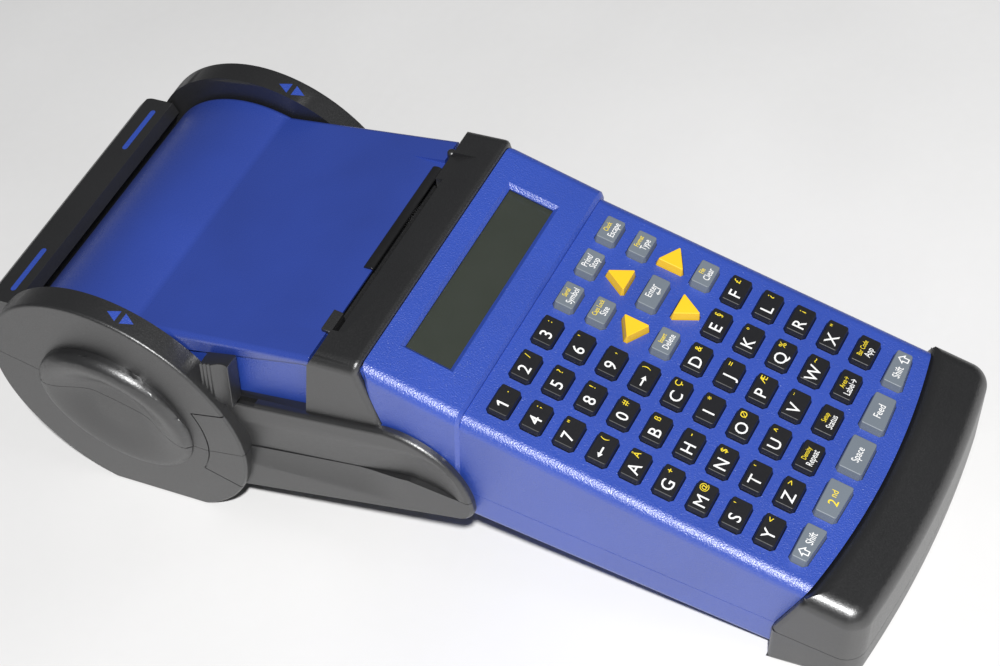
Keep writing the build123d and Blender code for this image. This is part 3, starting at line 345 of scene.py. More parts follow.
def add_on(name, mesh, body, finish):
    """Links a new piece that rides on a body and stands for no node."""
    piece = linked(name, mesh)
    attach(piece, body)
    return dress(piece, finish)


def with_modifier(mesh, kind, **settings):
    """The mesh that one modifier makes of another."""
    draft = linked("draft", mesh)
    modifier = draft.modifiers.new(kind.lower(), kind)
    for key, value in settings.items():
        setattr(modifier, key, value)
    result = plain_mesh(draft, mesh.name)
    bpy.data.objects.remove(draft)
    return result


def prism(name, outline, low, high):
    """Upright solid over a plan outline, between two heights that depend on y."""
    count = len(outline)
    points = [(x, y, low(y)) for x, y in outline] + [(x, y, high(y)) for x, y in outline]
    faces = [tuple(reversed(range(count))), tuple(range(count, 2 * count))]
    for i in range(count):
        j = (i + 1) % count
        faces.append((i, j, count + j, count + i))
    mesh = bpy.data.meshes.new(name)
    mesh.from_pydata(points, [], faces)
    return mesh


def soften(mesh, radius_mm):
    """Rounds the sharp edges of a mesh and keeps its flat faces flat to the light."""
    limit = math.radians(soft_angle)
    mesh = with_modifier(mesh, "BEVEL", width=radius_mm * MM, segments=soft_steps,
                         limit_method="ANGLE", angle_limit=limit, use_clamp_overlap=True)
    mesh.polygons.foreach_set("use_smooth", [True] * len(mesh.polygons))
    mesh.set_sharp_from_angle(angle=limit)
    return with_modifier(mesh, "WEIGHTED_NORMAL", mode="FACE_AREA", weight=flat_weight, keep_sharp=True)


# %% [markdown]
# An engineering mesh is a soup of loose triangles with knife-sharp edges, while a moulded
# part never has those. So each shell gets a copy whose triangles are welded and whose flat
# faces are joined. A few edges get a large radius of their own: the front of the neck band
# and the ends of the bumper. A test on the directions of the two faces picks them. The
# band also gets the slot that the labels leave by.

# %% Welding, large rounds and the tape slot
weld_mm = 0.002
flat_degrees = 0.6
large_round = 2.0
large_round_steps = 4
slot_left = -37.5
slot_right = 28.0
slot_front = 52.9
slot_rear = 62.0
slot_floor = 32.4
slot_ceiling = 45.0

# How squarely a face looks along an axis, as a cosine.
partly = 0.3
mostly = 0.6
squarely = 0.8


def welded(node):
    """Copy of a node's mesh with its triangles joined."""
    mesh = nodes[node].data.copy()
    shell = bmesh.new()
    shell.from_mesh(mesh)
    bmesh.ops.remove_doubles(shell, verts=shell.verts, dist=weld_mm * MM)
    bmesh.ops.dissolve_limit(shell, angle_limit=math.radians(flat_degrees), verts=shell.verts,
                             edges=shell.edges)
    shell.to_mesh(mesh)
    shell.free()
    mesh.name = node
    return mesh


def round_edges(mesh, chosen, clamp):
    """Gives a large radius to the edges that a test picks by their faces' directions."""
    to_case = CASE.inverted().to_3x3()
    shell = bmesh.new()
    shell.from_mesh(mesh)
    picked = []
    for edge in shell.edges:
        if len(edge.link_faces) == 2:
            first, second = [(to_case @ face.normal).normalized() for face in edge.link_faces]
            side = math.copysign(1, edge.verts[0].co.x)
            if chosen(first, second, side) or chosen(second, first, side):
                picked.append(edge)
    bmesh.ops.bevel(shell, geom=picked, offset=large_round * MM, segments=large_round_steps,
                    profile=0.5, affect="EDGES", clamp_overlap=clamp)
    shell.to_mesh(mesh)
    shell.free()
    return mesh


def band_front(first, second, side):
    """The band's front edge, over its top and down its legs."""
    outside = second.z > partly or second.x * side > partly
    return first.y < -mostly and abs(second.y) < partly and outside


def bumper_end(first, second, side):
    """The bumper's outer edges, where it meets the blue case."""
    return first.x * side > squarely and second.y > partly


def slotted(mesh):
    """Cuts the tape slot into the rear edge of the band's top."""
    outline = [(slot_left, slot_front), (slot_right, slot_front),
               (slot_right, slot_rear), (slot_left, slot_rear)]
    tool = linked("slot", prism("slot", outline, lambda y: slot_floor, lambda y: slot_ceiling))
    tool.data.transform(CASE)
    result = with_modifier(mesh, "BOOLEAN", object=tool, operation="DIFFERENCE", solver="EXACT")
    bpy.data.objects.remove(tool)
    return result


# %% [markdown]
# Each roll pod carries a round boss with a brow that is high on top and low at the foot,
# round a hollow middle. The seam between the side frame and the base then bends with it.
# The rails have a hollow too, which starts above the seam and runs on below it. Both are
# rules for how far out a point of the case stands, so the faces there are divided finely
# and their points moved by the rule.

# %% Pod bosses and rail hollows
reshape_step = 1.8
reshape_passes = 6
boss_face = 54.6
boss_lean = 0.038
boss_least = 52.0
boss_foot = 0.4
boss_reach = 27.6
boss_outward = 0.5
brow_mean = 57.65
brow_swing = 2.85
brow_turn = math.radians(80)
brow_radius = 24.0
brow_width = 3.5
brow_share = 0.8
hollow_out = 54.0
hollow_share = 0.35
rail_out = 51.6
rail_slack = 0.3
rail_outward = 0.9
rail_rear = 90.0
rail_front = 23.0
rail_run_out = 20.0
rail_hollow = 1.75
rail_height = 13.0
seam_rear = -16.4
seam_rear_y = 81.0
seam_fall = 0.27


def eased(share):
    """Share from 0 to 1 that starts and ends gently."""
    share = min(1, max(0, share))
    return share ** 2 * (3 - 2 * share)


def boss_height(radius, turn, z):
    """How far out the boss stands at a place round the roll axis."""
    face = boss_face + boss_lean * z
    brow = brow_mean + brow_swing * math.cos(turn - brow_turn)
    if radius < brow_radius:
        share = (radius / brow_radius - hollow_share) / (1 - hollow_share)
        return hollow_out + (brow - hollow_out) * eased(share)
    share = min(1, (radius - brow_radius) / brow_width)
    return brow - min(brow_width, brow_share * (brow - face)) * (1 - math.sqrt(1 - share ** 2))


def on_boss(normal, places):
    """Whether a face is on the crown or the rounded rim of a pod's boss."""
    outward = abs(normal.x) > boss_outward
    for place in places:
        offset = place - roll_in_case
        least = boss_least if outward else boss_face + boss_lean * offset.z + boss_foot
        if abs(place.x) < least or math.hypot(offset.y, offset.z) > boss_reach:
            return False
    return True


def boss_place(place):
    offset = place - roll_in_case
    out = boss_height(math.hypot(offset.y, offset.z), math.atan2(offset.z, offset.y), offset.z)
    return Vector((math.copysign(out, place.x), place.y, place.z))


def on_rail(normal, places):
    """Whether a face is on the outer side of a rail's lower half."""
    beside = all(abs(abs(p.x) - rail_out) < rail_slack and p.y < rail_rear for p in places)
    return beside and abs(normal.x) > rail_outward


def rail_place(place):
    """Carries the rail's hollow on below the seam, and lets it run out at the front end."""
    depth = max(0, seam_rear - seam_fall * (place.y - seam_rear_y) - place.z)
    fade = 1 - min(1, depth / rail_height) ** 2
    hollow = rail_hollow * fade * eased((place.y - rail_front) / rail_run_out)
    return Vector((math.copysign(rail_out - hollow, place.x), place.y, place.z))


def reshaped(mesh, chosen, moved):
    """Divides the faces that a test picks finely and moves their points by a rule."""
    to_case = CASE.inverted()
    turn = to_case.to_3x3()
    shell = bmesh.new()
    shell.from_mesh(mesh)

    def picked():
        return [face for face in shell.faces
                if chosen((turn @ face.normal).normalized(), [to_case @ v.co for v in face.verts])]

    for _ in range(reshape_passes):
        bmesh.ops.triangulate(shell, faces=picked())
        edges = dict.fromkeys(edge for face in picked() for edge in face.edges)
        long_edges = [edge for edge in edges if edge.calc_length() > reshape_step * MM]
        bmesh.ops.subdivide_edges(shell, edges=long_edges, cuts=1)
    for vert in dict.fromkeys(vert for face in picked() for vert in face.verts):
        vert.co = CASE @ moved(to_case @ vert.co)
    shell.to_mesh(mesh)
    shell.free()
    return mesh


# %% [markdown]
# Now the copies can be made. After its own shaping each one is softened, where a bevel
# rounds what is sharper than a chosen angle. The copy stands for the node, and the node
# stays behind for collision.

# %% Rounded copies of the shells
LARGE_ROUNDS = {"neck_band": (band_front, True), "bumper_upper": (bumper_end, False),
                "bumper_lower": (bumper_end, False)}
BOSS_NODES = ("side_frame_left", "side_frame_right", "printer_base")
EDGE_RADII = {
    "upper_housing": 0.3, "lower_housing": 0.3, "bumper_upper": 0.5, "bumper_lower": 0.5,
    "neck_band": 0.35, "side_frame_left": 0.8, "side_frame_right": 0.8, "printer_base": 0.7,
    "rear_bar": 2.4, "roll_cover": 0.4, "edge_guide": 0.25, "battery_door": 0.3,
}
for node, radius in EDGE_RADII.items():
    mesh = welded(node)
    if node in LARGE_ROUNDS:
        mesh = round_edges(mesh, *LARGE_ROUNDS[node])
    if node == "neck_band":
        mesh = slotted(mesh)
    if node in BOSS_NODES:
        mesh = reshaped(mesh, on_boss, boss_place)
    if node == "printer_base":
        mesh = reshaped(mesh, on_rail, rail_place)
    piece = stand_in(node + "_shell", soften(mesh, radius), node)
    print(node, len(piece.data.polygons), "faces")
# The roll cover takes the darker blue, which is partly painted shade.
dress(bpy.data.objects["roll_cover_shell"], cover_blue)

# %% [markdown]
# Two small parts are drawn here as the photograph shows them. The tear bar is a half-round
# strip along the cover's front edge. The latch is a finger block with a hollow outer face,
# a few ribs at its rear and a top that slopes with the cover's lip.

# %% Tear bar and latch
bar_left = -8.8
bar_right = 35.4
bar_front = 57.1
bar_depth = 3.4
bar_height = 1.1
bar_steps = 8
bar_fullness = 0.7
bar_round = 0.15
facet_height = 31.6
facet_fall = 0.187
latch_front = 82.2
latch_rear = 92.4
latch_ribs_start = 88.4
latch_ribs = 3
latch_rib_depth = 0.55
latch_outer = -53.4
latch_inner = -48.1
latch_hollow = 0.9
latch_hollow_steps = 6
latch_top = 21.5
latch_top_fall = 0.45
latch_foot = 0.8
latch_foot_fall = 0.338
latch_round = 0.3


def facet_at(y):
    """Height of the cover's sloping front, where the bar lies."""
    return facet_height - (y - bar_front) * facet_fall


def tear_bar():
    """Half-round strip: a row of lines along X, from the front edge over to the rear."""
    section = []
    for k in range(bar_steps + 1):
        turn = math.pi * k / bar_steps
        y = bar_front + bar_depth * (1 - math.cos(turn)) / 2
        section.append((y, facet_at(y) + bar_height * math.sin(turn) ** bar_fullness))
    count = len(section)
    points = [(x, y, z) for x in (bar_left, bar_right) for y, z in section]
    faces = [tuple(range(count)), tuple(reversed(range(count, 2 * count)))]
    faces += [(k, count + k, count + (k + 1) % count, (k + 1) % count) for k in range(count)]
    mesh = bpy.data.meshes.new("tear_bar")
    mesh.from_pydata(points, [], faces)
    return mesh


def latch_outline():
    """Plan of the latch, from its inner rear corner round by the front and the outer face."""
    outline = [(latch_inner, latch_rear), (latch_inner, latch_front), (latch_outer, latch_front)]
    span = latch_ribs_start - latch_front
    for k in range(1, latch_hollow_steps):
        share = k / latch_hollow_steps
        hollow = latch_hollow * 4 * share * (1 - share)
        outline.append((latch_outer + hollow, latch_front + span * share))
    pitch = (latch_rear - latch_ribs_start) / latch_ribs
    for k in range(latch_ribs):
        start = latch_ribs_start + k * pitch
        outline.append((latch_outer, start))
        outline.append((latch_outer + latch_rib_depth, start + 0.5 * pitch))
    outline.append((latch_outer, latch_rear))
    return outline


def latch_block():
    """Block between the rail's slope and its own sloping top."""
    return prism("latch_block", latch_outline(),
                 lambda y: latch_foot - (y - latch_front) * latch_foot_fall,
                 lambda y: latch_top - (y - latch_front) * latch_top_fall)


SMALL_PARTS = (("tear_bar", tear_bar(), bar_round, "tear_plate"),
               ("latch_block", latch_block(), latch_round, "cover_latch"))
for name, mesh, radius, node in SMALL_PARTS:
    mesh.transform(CASE)
    shell = bmesh.new()
    shell.from_mesh(mesh)
    bmesh.ops.recalc_face_normals(shell, faces=shell.faces)
    shell.to_mesh(mesh)
    shell.free()
    stand_in(name, soften(mesh, radius), node)
    print(name, "stands for", node)

# %% [markdown]
# The keys stand in even rows, so one cap and a grid of points make a whole block of them.
# A cap is a stack of rings: a flange below the deck, a shank through it, and a tapered
# head. The rings are the same outline moved in or out, with crisper corners at the top.

# %% Cap shapes
column_pitch = 14.0
row_pitch = 10.5
first_column = -2.5 * column_pitch
deck_wall = 2.45
flange_depth = 1.0
flange_margin = 0.9
cap_inset = 0.5
corner_cut = 0.9
top_corner_cut = 0.35
cap_round = 0.25
KEY_RISE = {"key_black": 1.9, "key_grey": 2.6, "key_yellow": 2.6}


def shrunk(outline, inset):
    """Convex outline with every side moved in by the inset."""
    count = len(outline)
    result = []
    for i in range(count):
        before = (outline[i] - outline[i - 1]).normalized()
        after = (outline[(i + 1) % count] - outline[i]).normalized()
        left = Vector((-before.y, before.x))
        bisector = (left + Vector((-after.y, after.x))).normalized()
        result.append(outline[i] + bisector * (inset / bisector.dot(left)))
    return result


def cut_corners(corners, cut):
    """Outline with each corner replaced by a short straight side."""
    outline = []
    for i, corner in enumerate(corners):
        for other in (corners[i - 1], corners[(i + 1) % len(corners)]):
            outline.append(corner + (other - corner).normalized() * cut)
    return outline


def rectangle(width, length):
    signs = ((-1, -1), (1, -1), (1, 1), (-1, 1))
    return [Vector((x * width / 2, y * length / 2)) for x, y in signs]


def ring_stack(name, rings):
    """Closed mesh through rings of equal count, each an outline and its height."""
    count = len(rings[0][0])
    points = [(p.x, p.y, w) for outline, w in rings for p in outline]
    faces = [tuple(reversed(range(count)))]
    for level in range(len(rings) - 1):
        base = level * count
        for i in range(count):
            j = (i + 1) % count
            faces.append((base + i, base + j, base + count + j, base + count + i))
    top = (len(rings) - 1) * count
    faces.append(tuple(range(top, top + count)))
    mesh = bpy.data.meshes.new(name)
    mesh.from_pydata(points, [], faces)
    return mesh


def cap(name, corners, rise):
    """Key cap in deck millimetres, from the corners of its base."""
    base = cut_corners(corners, corner_cut)
    grown = shrunk(base, -flange_margin)
    rings = [(grown, -deck_wall - flange_depth), (grown, -deck_wall), (base, -deck_wall), (base, 0),
             (cut_corners(shrunk(corners, cap_inset), top_corner_cut), rise)]
    return soften(ring_stack(name, rings), cap_round / MM)


# %% [markdown]
# The block of keys is a Geometry Nodes tree with named inputs: the cap, the number of
# columns and rows, their pitch and the place of the first key. It makes a grid of points,
# turns it so that it grows to the right and down the deck, sets a cap on each and makes
# the result real. The tree works in deck millimetres, and DECK carries the finished mesh
# to its place.

# %% Key blocks by Geometry Nodes
def input_socket(tree, name, kind):
    return tree.interface.new_socket(name, in_out="INPUT", socket_type=kind).identifier


def instance_tail(tree, points, source):
    """Sets the cap on the points, makes it real and gives it a material."""
    place = tree.nodes.new("GeometryNodeInstanceOnPoints")
    real = tree.nodes.new("GeometryNodeRealizeInstances")
    paint = tree.nodes.new("GeometryNodeSetMaterial")
    info = tree.nodes.new("GeometryNodeObjectInfo")
    end = tree.nodes.new("NodeGroupOutput")
    tree.interface.new_socket("Geometry", in_out="OUTPUT", socket_type="NodeSocketGeometry")
    tree.links.new(points, place.inputs["Points"])
    tree.links.new(source.outputs["Cap"], info.inputs["Object"])
    tree.links.new(info.outputs["Geometry"], place.inputs["Instance"])
    tree.links.new(place.outputs["Instances"], real.inputs["Geometry"])
    tree.links.new(real.outputs["Geometry"], paint.inputs["Geometry"])
    tree.links.new(source.outputs["Material"], paint.inputs["Material"])
    tree.links.new(paint.outputs["Geometry"], end.inputs["Geometry"])


def key_block_tree():
    tree = bpy.data.node_groups.new("key_block", "GeometryNodeTree")
    kinds = {"Cap": "NodeSocketObject", "Columns": "NodeSocketInt", "Rows": "NodeSocketInt",
             "Column Pitch": "NodeSocketFloat", "Row Pitch": "NodeSocketFloat",
             "First Key": "NodeSocketVector", "Material": "NodeSocketMaterial"}
    sockets = {name: input_socket(tree, name, kind) for name, kind in kinds.items()}
    source = tree.nodes.new("NodeGroupInput")
    across = tree.nodes.new("GeometryNodeMeshLine")
    down = tree.nodes.new("GeometryNodeMeshLine")
    step_x = tree.nodes.new("ShaderNodeCombineXYZ")
    step_u = tree.nodes.new("ShaderNodeCombineXYZ")
    flip = tree.nodes.new("ShaderNodeMath")
    flip.operation = "MULTIPLY"
    flip.inputs[1].default_value = -1.0
    cross = tree.nodes.new("GeometryNodeInstanceOnPoints")
    points = tree.nodes.new("GeometryNodeRealizeInstances")
    tree.links.new(source.outputs["Columns"], across.inputs["Count"])
    tree.links.new(source.outputs["Column Pitch"], step_x.inputs["X"])
    tree.links.new(step_x.outputs["Vector"], across.inputs["Offset"])
    tree.links.new(source.outputs["First Key"], across.inputs["Start Location"])
    tree.links.new(source.outputs["Rows"], down.inputs["Count"])
    tree.links.new(source.outputs["Row Pitch"], flip.inputs[0])
    tree.links.new(flip.outputs["Value"], step_u.inputs["Y"])
    tree.links.new(step_u.outputs["Vector"], down.inputs["Offset"])
    tree.links.new(across.outputs["Mesh"], cross.inputs["Points"])
    tree.links.new(down.outputs["Mesh"], cross.inputs["Instance"])
    tree.links.new(cross.outputs["Instances"], points.inputs["Geometry"])
    instance_tail(tree, points.outputs["Geometry"], source)
    return tree, sockets


def grown(name, base, tree, sockets, values):
    """Runs a node tree on a base mesh and returns the plain mesh that it makes."""
    draft = linked(name + "_draft", base)
    growth = draft.modifiers.new("grow", "NODES")
    growth.node_group = tree
    for key, value in values.items():
        growth[sockets[key]] = value
    mesh = plain_mesh(draft, name)
    draft.modifiers.remove(growth)
    bpy.data.objects.remove(draft)
    return mesh


black_width = 10.6
black_length = 7.0
BLACK_BLOCKS = {"number_keys": (0, 3, 4), "letter_keys_upper": (4, 6, 2),
                "letter_keys_middle": (6, 6, 2), "letter_keys_lower": (8, 6, 1)}
block_tree, block_sockets = key_block_tree()
black_mesh = cap("black_cap", rectangle(black_width, black_length), KEY_RISE["key_black"])
black_cap = linked("black_cap", black_mesh)
for node, (row, columns, rows) in BLACK_BLOCKS.items():
    values = {"Cap": black_cap, "Columns": columns, "Rows": rows, "Column Pitch": column_pitch,
              "Row Pitch": row_pitch, "First Key": (first_column, -row * row_pitch, 0.0),
              "Material": finishes["key_black"]}
    mesh = grown(node + "_caps", bpy.data.meshes.new("seed"), block_tree, block_sockets, values)
    mesh.transform(DECK)
    piece = stand_in(node + "_caps", mesh, node)
    print(node, columns * rows, "caps,", len(piece.data.polygons), "faces")
bpy.data.objects.remove(black_cap)

# %% [markdown]
# The grey and yellow keys each have a body of their own, so they are single caps. Enter is
# wider, the arrows are triangles that point away from it, and the front edge of the bottom
# row follows the bow of the deck.

# %% Grey and yellow keys
GREY_CELLS = {"key_symbol": (0, 3), "key_print": (0, 4), "key_escape": (0, 5), "key_size": (1, 3),
              "key_type": (1, 5), "key_delete": (3, 3), "key_clear": (3, 5), "key_enter": (2, 4)}
ARROW_CELLS = {"key_up": (1, 4, 90), "key_left": (2, 3, 180), "key_right": (2, 5, 0), "key_down": (3, 4, 270)}
BOTTOM_ROW = ["key_shift_left", "key_second", "key_space", "key_feed", "key_shift_right"]
grey_width = 9.6
grey_length = 6.8
enter_width = 12.4
arrow_side = 10.0
bottom_pitch = 16.9
bottom_width = 13.0
bottom_back = -91.8
bottom_front = -100.1
bottom_bow = 2.6


def cell_place(row, column):
    return Vector((first_column + column * column_pitch, -row * row_pitch))


def triangle(side, degrees):
    reach = side / math.sqrt(3)
    turns = [math.radians(degrees + k * 120) for k in range(3)]
    return [Vector((reach * math.cos(t), reach * math.sin(t))) for t in turns]


def bottom_corners(index):
    """Corners of a bottom-row key, whose front follows the bow."""
    middle = (len(BOTTOM_ROW) - 1) / 2
    left = (index - middle) * bottom_pitch - bottom_width / 2
    right = left + bottom_width
    half_row = middle * bottom_pitch + bottom_width / 2
    front = [bottom_front + bottom_bow * (x / half_row) ** 2 for x in (left, right)]
    return [Vector((left, front[0])), Vector((right, front[1])),
            Vector((right, bottom_back)), Vector((left, bottom_back))]


key_corners = {}
for node, cell in GREY_CELLS.items():
    width = enter_width if node == "key_enter" else grey_width
    key_corners[node] = [p + cell_place(*cell) for p in rectangle(width, grey_length)]
for node, (row, column, degrees) in ARROW_CELLS.items():
    key_corners[node] = [p + cell_place(row, column) for p in triangle(arrow_side, degrees)]
for index, node in enumerate(BOTTOM_ROW):
    key_corners[node] = bottom_corners(index)
for node, corners in key_corners.items():
    mesh = cap(node + "_cap", corners, KEY_RISE[slot_of[node]])
    mesh.transform(DECK)
    stand_in(node + "_cap", mesh, node)
print(len(key_corners), "single caps")

# %% [markdown]
# Legends are printed on the caps, so they are thin sheets of lettering just above the
# plastic. Each word is a text curve that becomes a mesh before it is placed. White marks
# are the main ones, yellow marks are the second function.

# %% Lettering
ink_lift = 0.03
print_weld = 0.0005
cap_share = 0.69
main_size = 5.4
second_size = 2.9
word_size = 2.9
small_size = 2.2
main_weight = 0.004
word_weight = 0.006
word_condense = 0.72
small_condense = 0.68
curve_steps = 3
one_bar = 0.11
one_flag_reach = 1.5
one_flag_top = 0.78
one_flag_low = 0.64
one_flag_root = 0.76
ARROW_MARKS = {"←": -1, "→": 1}
arrow_length = 3.8
arrow_head = 1.5
arrow_wing = 0.85
arrow_shaft = 0.26


def word_mesh(text, size, condense, weight):
    """Flat lettering, centred on its own width and half its capital height."""
    curve = bpy.data.curves.new("word", "FONT")
    curve.body = text
    curve.size = size
    curve.resolution_u = curve_steps
    curve.offset = weight * size
    draft = linked("word", curve)
    mesh = plain_mesh(draft, "word")
    bpy.data.objects.remove(draft)
    xs = [v.co.x for v in mesh.vertices]
    middle = (min(xs) + max(xs)) / 2
    centring = Matrix.Translation((-middle, -cap_share * size / 2, 0))
    mesh.transform(Matrix.Diagonal((condense, 1, 1, 1)) @ centring)
    return mesh


def figure_one(size):
    """A one with a flag, which the font's plain bar lacks."""
    high = cap_share * size
    bar = one_bar * size
    reach = -one_flag_reach * bar
    points = [(0, 0), (bar, 0), (bar, high), (0.25 * bar, high), (reach, one_flag_top * high),
              (reach, one_flag_low * high), (0, one_flag_root * high)]
    mesh = bpy.data.meshes.new("one")
    mesh.from_pydata([(x, y - high / 2, 0) for x, y in points], [], [(0, 1, 2, 3, 6), (3, 4, 5, 6)])
    return mesh


def arrow_mark(way):
    """A straight arrow that points to the left (-1) or to the right (1)."""
    tip = arrow_length / 2
    neck = tip - arrow_head
    points = [(-tip, -arrow_shaft), (neck, -arrow_shaft), (neck, arrow_shaft), (-tip, arrow_shaft),
              (neck, -arrow_wing), (tip, 0), (neck, arrow_wing)]
    faces = [(0, 1, 2, 3), (4, 5, 6)]
    if way < 0:
        faces = [tuple(reversed(face)) for face in faces]
    mesh = bpy.data.meshes.new("arrow")
    mesh.from_pydata([(way * x, y, 0) for x, y in points], [], faces)
    return mesh


class Print:
    """Collects the marks of one colour on one body."""

    def __init__(self):
        self.sheet = bmesh.new()

    def mark(self, text, size, place, rise, condense=1.0, weight=main_weight):
        if text == "1":
            mesh = figure_one(size)
        elif text in ARROW_MARKS:
            mesh = arrow_mark(ARROW_MARKS[text])
        else:
            mesh = word_mesh(text, size, condense, weight if text != "M" else 0)
        mesh.transform(Matrix.Translation((place.x, place.y, rise + ink_lift)))
        self.sheet.from_mesh(mesh)

    def finished(self, name):
        mesh = bpy.data.meshes.new(name)
        bmesh.ops.remove_doubles(self.sheet, verts=self.sheet.verts, dist=print_weld)
        self.sheet.to_mesh(mesh)
        self.sheet.free()
        mesh.transform(DECK)
        return mesh


# %% [markdown]
# A table says what stands where. On a black key the main mark sits left of the middle and
# the second mark at the upper right. A few keys carry two words instead.

# %% Legends of the black keys
MAIN_MARKS = ["123", "456", "789", "←0→", "ABCDEF", "GHIJKL", "MNOPQR", "STUVWX", "YZ"]
SECOND_MARKS = ["./:", ";?'", "\"!,", "(#)", "ÅßÇ&§£", "+-*=°¿",
                "@$ØÆ%¡", "''^¨~\"", "<>"]
WORD_KEYS = {(8, 2): ("Repeat", "Density"), (8, 3): ("Status", "Setup"), (8, 4): ("Label→", "Area→"),
             (8, 5): ("App", "Bar Code")}
main_shift = Vector((-1.7, -0.1))
second_shift = Vector((2.9, 1.2))
word_shift = Vector((-0.3, -1.0))
small_shift = Vector((0.3, 1.25))

black_white = {node: Print() for node in BLACK_BLOCKS}
black_yellow = {node: Print() for node in BLACK_BLOCKS}
rise = KEY_RISE["key_black"]
for node, (first, columns, rows) in BLACK_BLOCKS.items():
    for row in range(first, first + rows):
        for column, mark in enumerate(MAIN_MARKS[row]):
            spot = cell_place(row, column)
            black_white[node].mark(mark, main_size, spot + main_shift, rise)
            black_yellow[node].mark(SECOND_MARKS[row][column], second_size, spot + second_shift, rise)
for (row, column), (word, small) in WORD_KEYS.items():
    spot = cell_place(row, column)
    white = black_white["letter_keys_lower"]
    white.mark(word, word_size, spot + word_shift, rise, word_condense, word_weight)
    yellow = black_yellow["letter_keys_lower"]
    yellow.mark(small, small_size, spot + small_shift, rise, small_condense, main_weight)
for node in BLACK_BLOCKS:
    body = body_of[node]
    add_on(node + "_white", black_white[node].finished(node + "_white"), body, white_ink)
    add_on(node + "_yellow", black_yellow[node].finished(node + "_yellow"), body, yellow_ink)
print("legends on", len(BLACK_BLOCKS), "blocks of keys")

# %% [markdown]
# On the grey keys a white word stands low on the cap and a small yellow word above it.
# Enter has a return arrow under its name, the shift keys an outlined arrow beside it, and
# the second-function key is all yellow.

# %% Legends of the grey keys
GREY_WORDS = {"key_symbol": ("Symbol", "Serial"), "key_escape": ("Escape", "Clock"),
              "key_size": ("Size", "Caps Lock"), "key_type": ("Type", "Format"),
              "key_delete": ("Delete", "Insert"), "key_clear": ("Clear", "File")}
BOTTOM_WORDS = {"key_space": ("Space", 0.72), "key_feed": ("Feed", 0.78)}
SHIFT_SIDES = {"key_shift_left": 1, "key_shift_right": -1}
grey_word_shift = Vector((0.1, -0.9))
grey_small_shift = Vector((0.3, 1.3))
grey_small_condense = 0.66
print_condense = 0.75
print_shifts = (Vector((0, 1.1)), Vector((0.2, -1.2)))
enter_condense = 0.8
enter_shift = Vector((0, 0.9))
return_size = 3.0
return_shift = Vector((0.6, -1.3))
bottom_size = 3.3
shift_word_x = 1.6
shift_arrow_x = -3.4
shift_arrow_size = 4.4
shift_arrow_condense = 0.9
shift_drop = -0.2
second_mark = ("2", 4.4, Vector((-1.5, -0.3)), 0.9)
second_tail = ("nd", 2.9, Vector((1.4, 0.6)), 0.85)
rise = KEY_RISE["key_grey"]


def bottom_place(node):
    corners = key_corners[node]
    return sum(corners, Vector((0, 0))) / len(corners)


def print_key(node, white, yellow):
    """Prints lists of (text, size, place, condense) on one key."""
    inks = ((white, "_white", "label_paper", white_ink), (yellow, "_yellow", "key_yellow", yellow_ink))
    for marks, ending, slot, ink in inks:
        if not marks:
            continue
        sheet = Print()
        for text, size, place, condense in marks:
            sheet.mark(text, size, place, rise, condense, word_weight)
        name = node + ending
        add_on(name, sheet.finished(name), body_of[node], ink)


for node, (word, small) in GREY_WORDS.items():
    spot = cell_place(*GREY_CELLS[node])
    print_key(node, [(word, word_size, spot + grey_word_shift, word_condense)],
              [(small, small_size, spot + grey_small_shift, grey_small_condense)])
spot = cell_place(*GREY_CELLS["key_print"])
print_key("key_print", [(word, word_size, spot + shift, print_condense)
                        for word, shift in zip(("Print/", "Stop"), print_shifts)], [])
spot = cell_place(*GREY_CELLS["key_enter"])
print_key("key_enter", [("Enter", word_size, spot + enter_shift, enter_condense),
                        ("↵", return_size, spot + return_shift, 1.0)], [])
for node, side in SHIFT_SIDES.items():
    spot = bottom_place(node)
    word_spot = spot + Vector((side * shift_word_x, shift_drop))
    arrow_spot = spot + Vector((side * shift_arrow_x, shift_drop))
    print_key(node, [("Shift", bottom_size, word_spot, word_condense),
                     ("⇧", shift_arrow_size, arrow_spot, shift_arrow_condense)], [])
for node, (word, condense) in BOTTOM_WORDS.items():
    print_key(node, [(word, bottom_size, bottom_place(node), condense)], [])
spot = bottom_place("key_second")
print_key("key_second", [], [(word, size, spot + shift, condense)
                             for word, size, shift, condense in (second_mark, second_tail)])
print("legends on", len(GREY_WORDS) + len(BOTTOM_ROW) + 2, "grey keys")

# %% [markdown]
# Two small blue triangles are let into the rim of each pod, and two blue bars into the
# rear bar. The triangles lie on a cylinder, so they are made of strips that bend with it.

# %% Blue inlays
pod_radius = 46.7
inlay_lift = 0.04
triangle_half_base = 2.1
triangle_reach = 3.8
triangle_strips = 4
triangle_gap = 1.6
triangle_middle = 120.5
rim_x = 51.5
bar_top = Vector((169.9, -5.18))
bar_fall = -2.4 / 11.0
bar_half_width = 0.95
bar_ends = (23.4, 42.4)
bar_end_steps = 8


def rim_triangle(x, way):
    """Triangle on a pod's rim: its base lies along X and its point runs round the rim."""
    radius = pod_radius + inlay_lift
    points = []
    for i in range(triangle_strips + 1):
        share = i / triangle_strips
        y = triangle_middle + way * (triangle_gap / 2 + triangle_reach * share) - roll_in_case.y
        half = triangle_half_base * (1 - share)
        for out in (-half, half):
            points.append((x + out, roll_in_case.y + y, roll_in_case.z + math.sqrt(radius ** 2 - y ** 2)))
    faces = []
    for i in range(triangle_strips):
        quad = (2 * i, 2 * i + 1, 2 * i + 3, 2 * i + 2)
        faces.append(quad if way > 0 else tuple(reversed(quad)))
    return points, faces


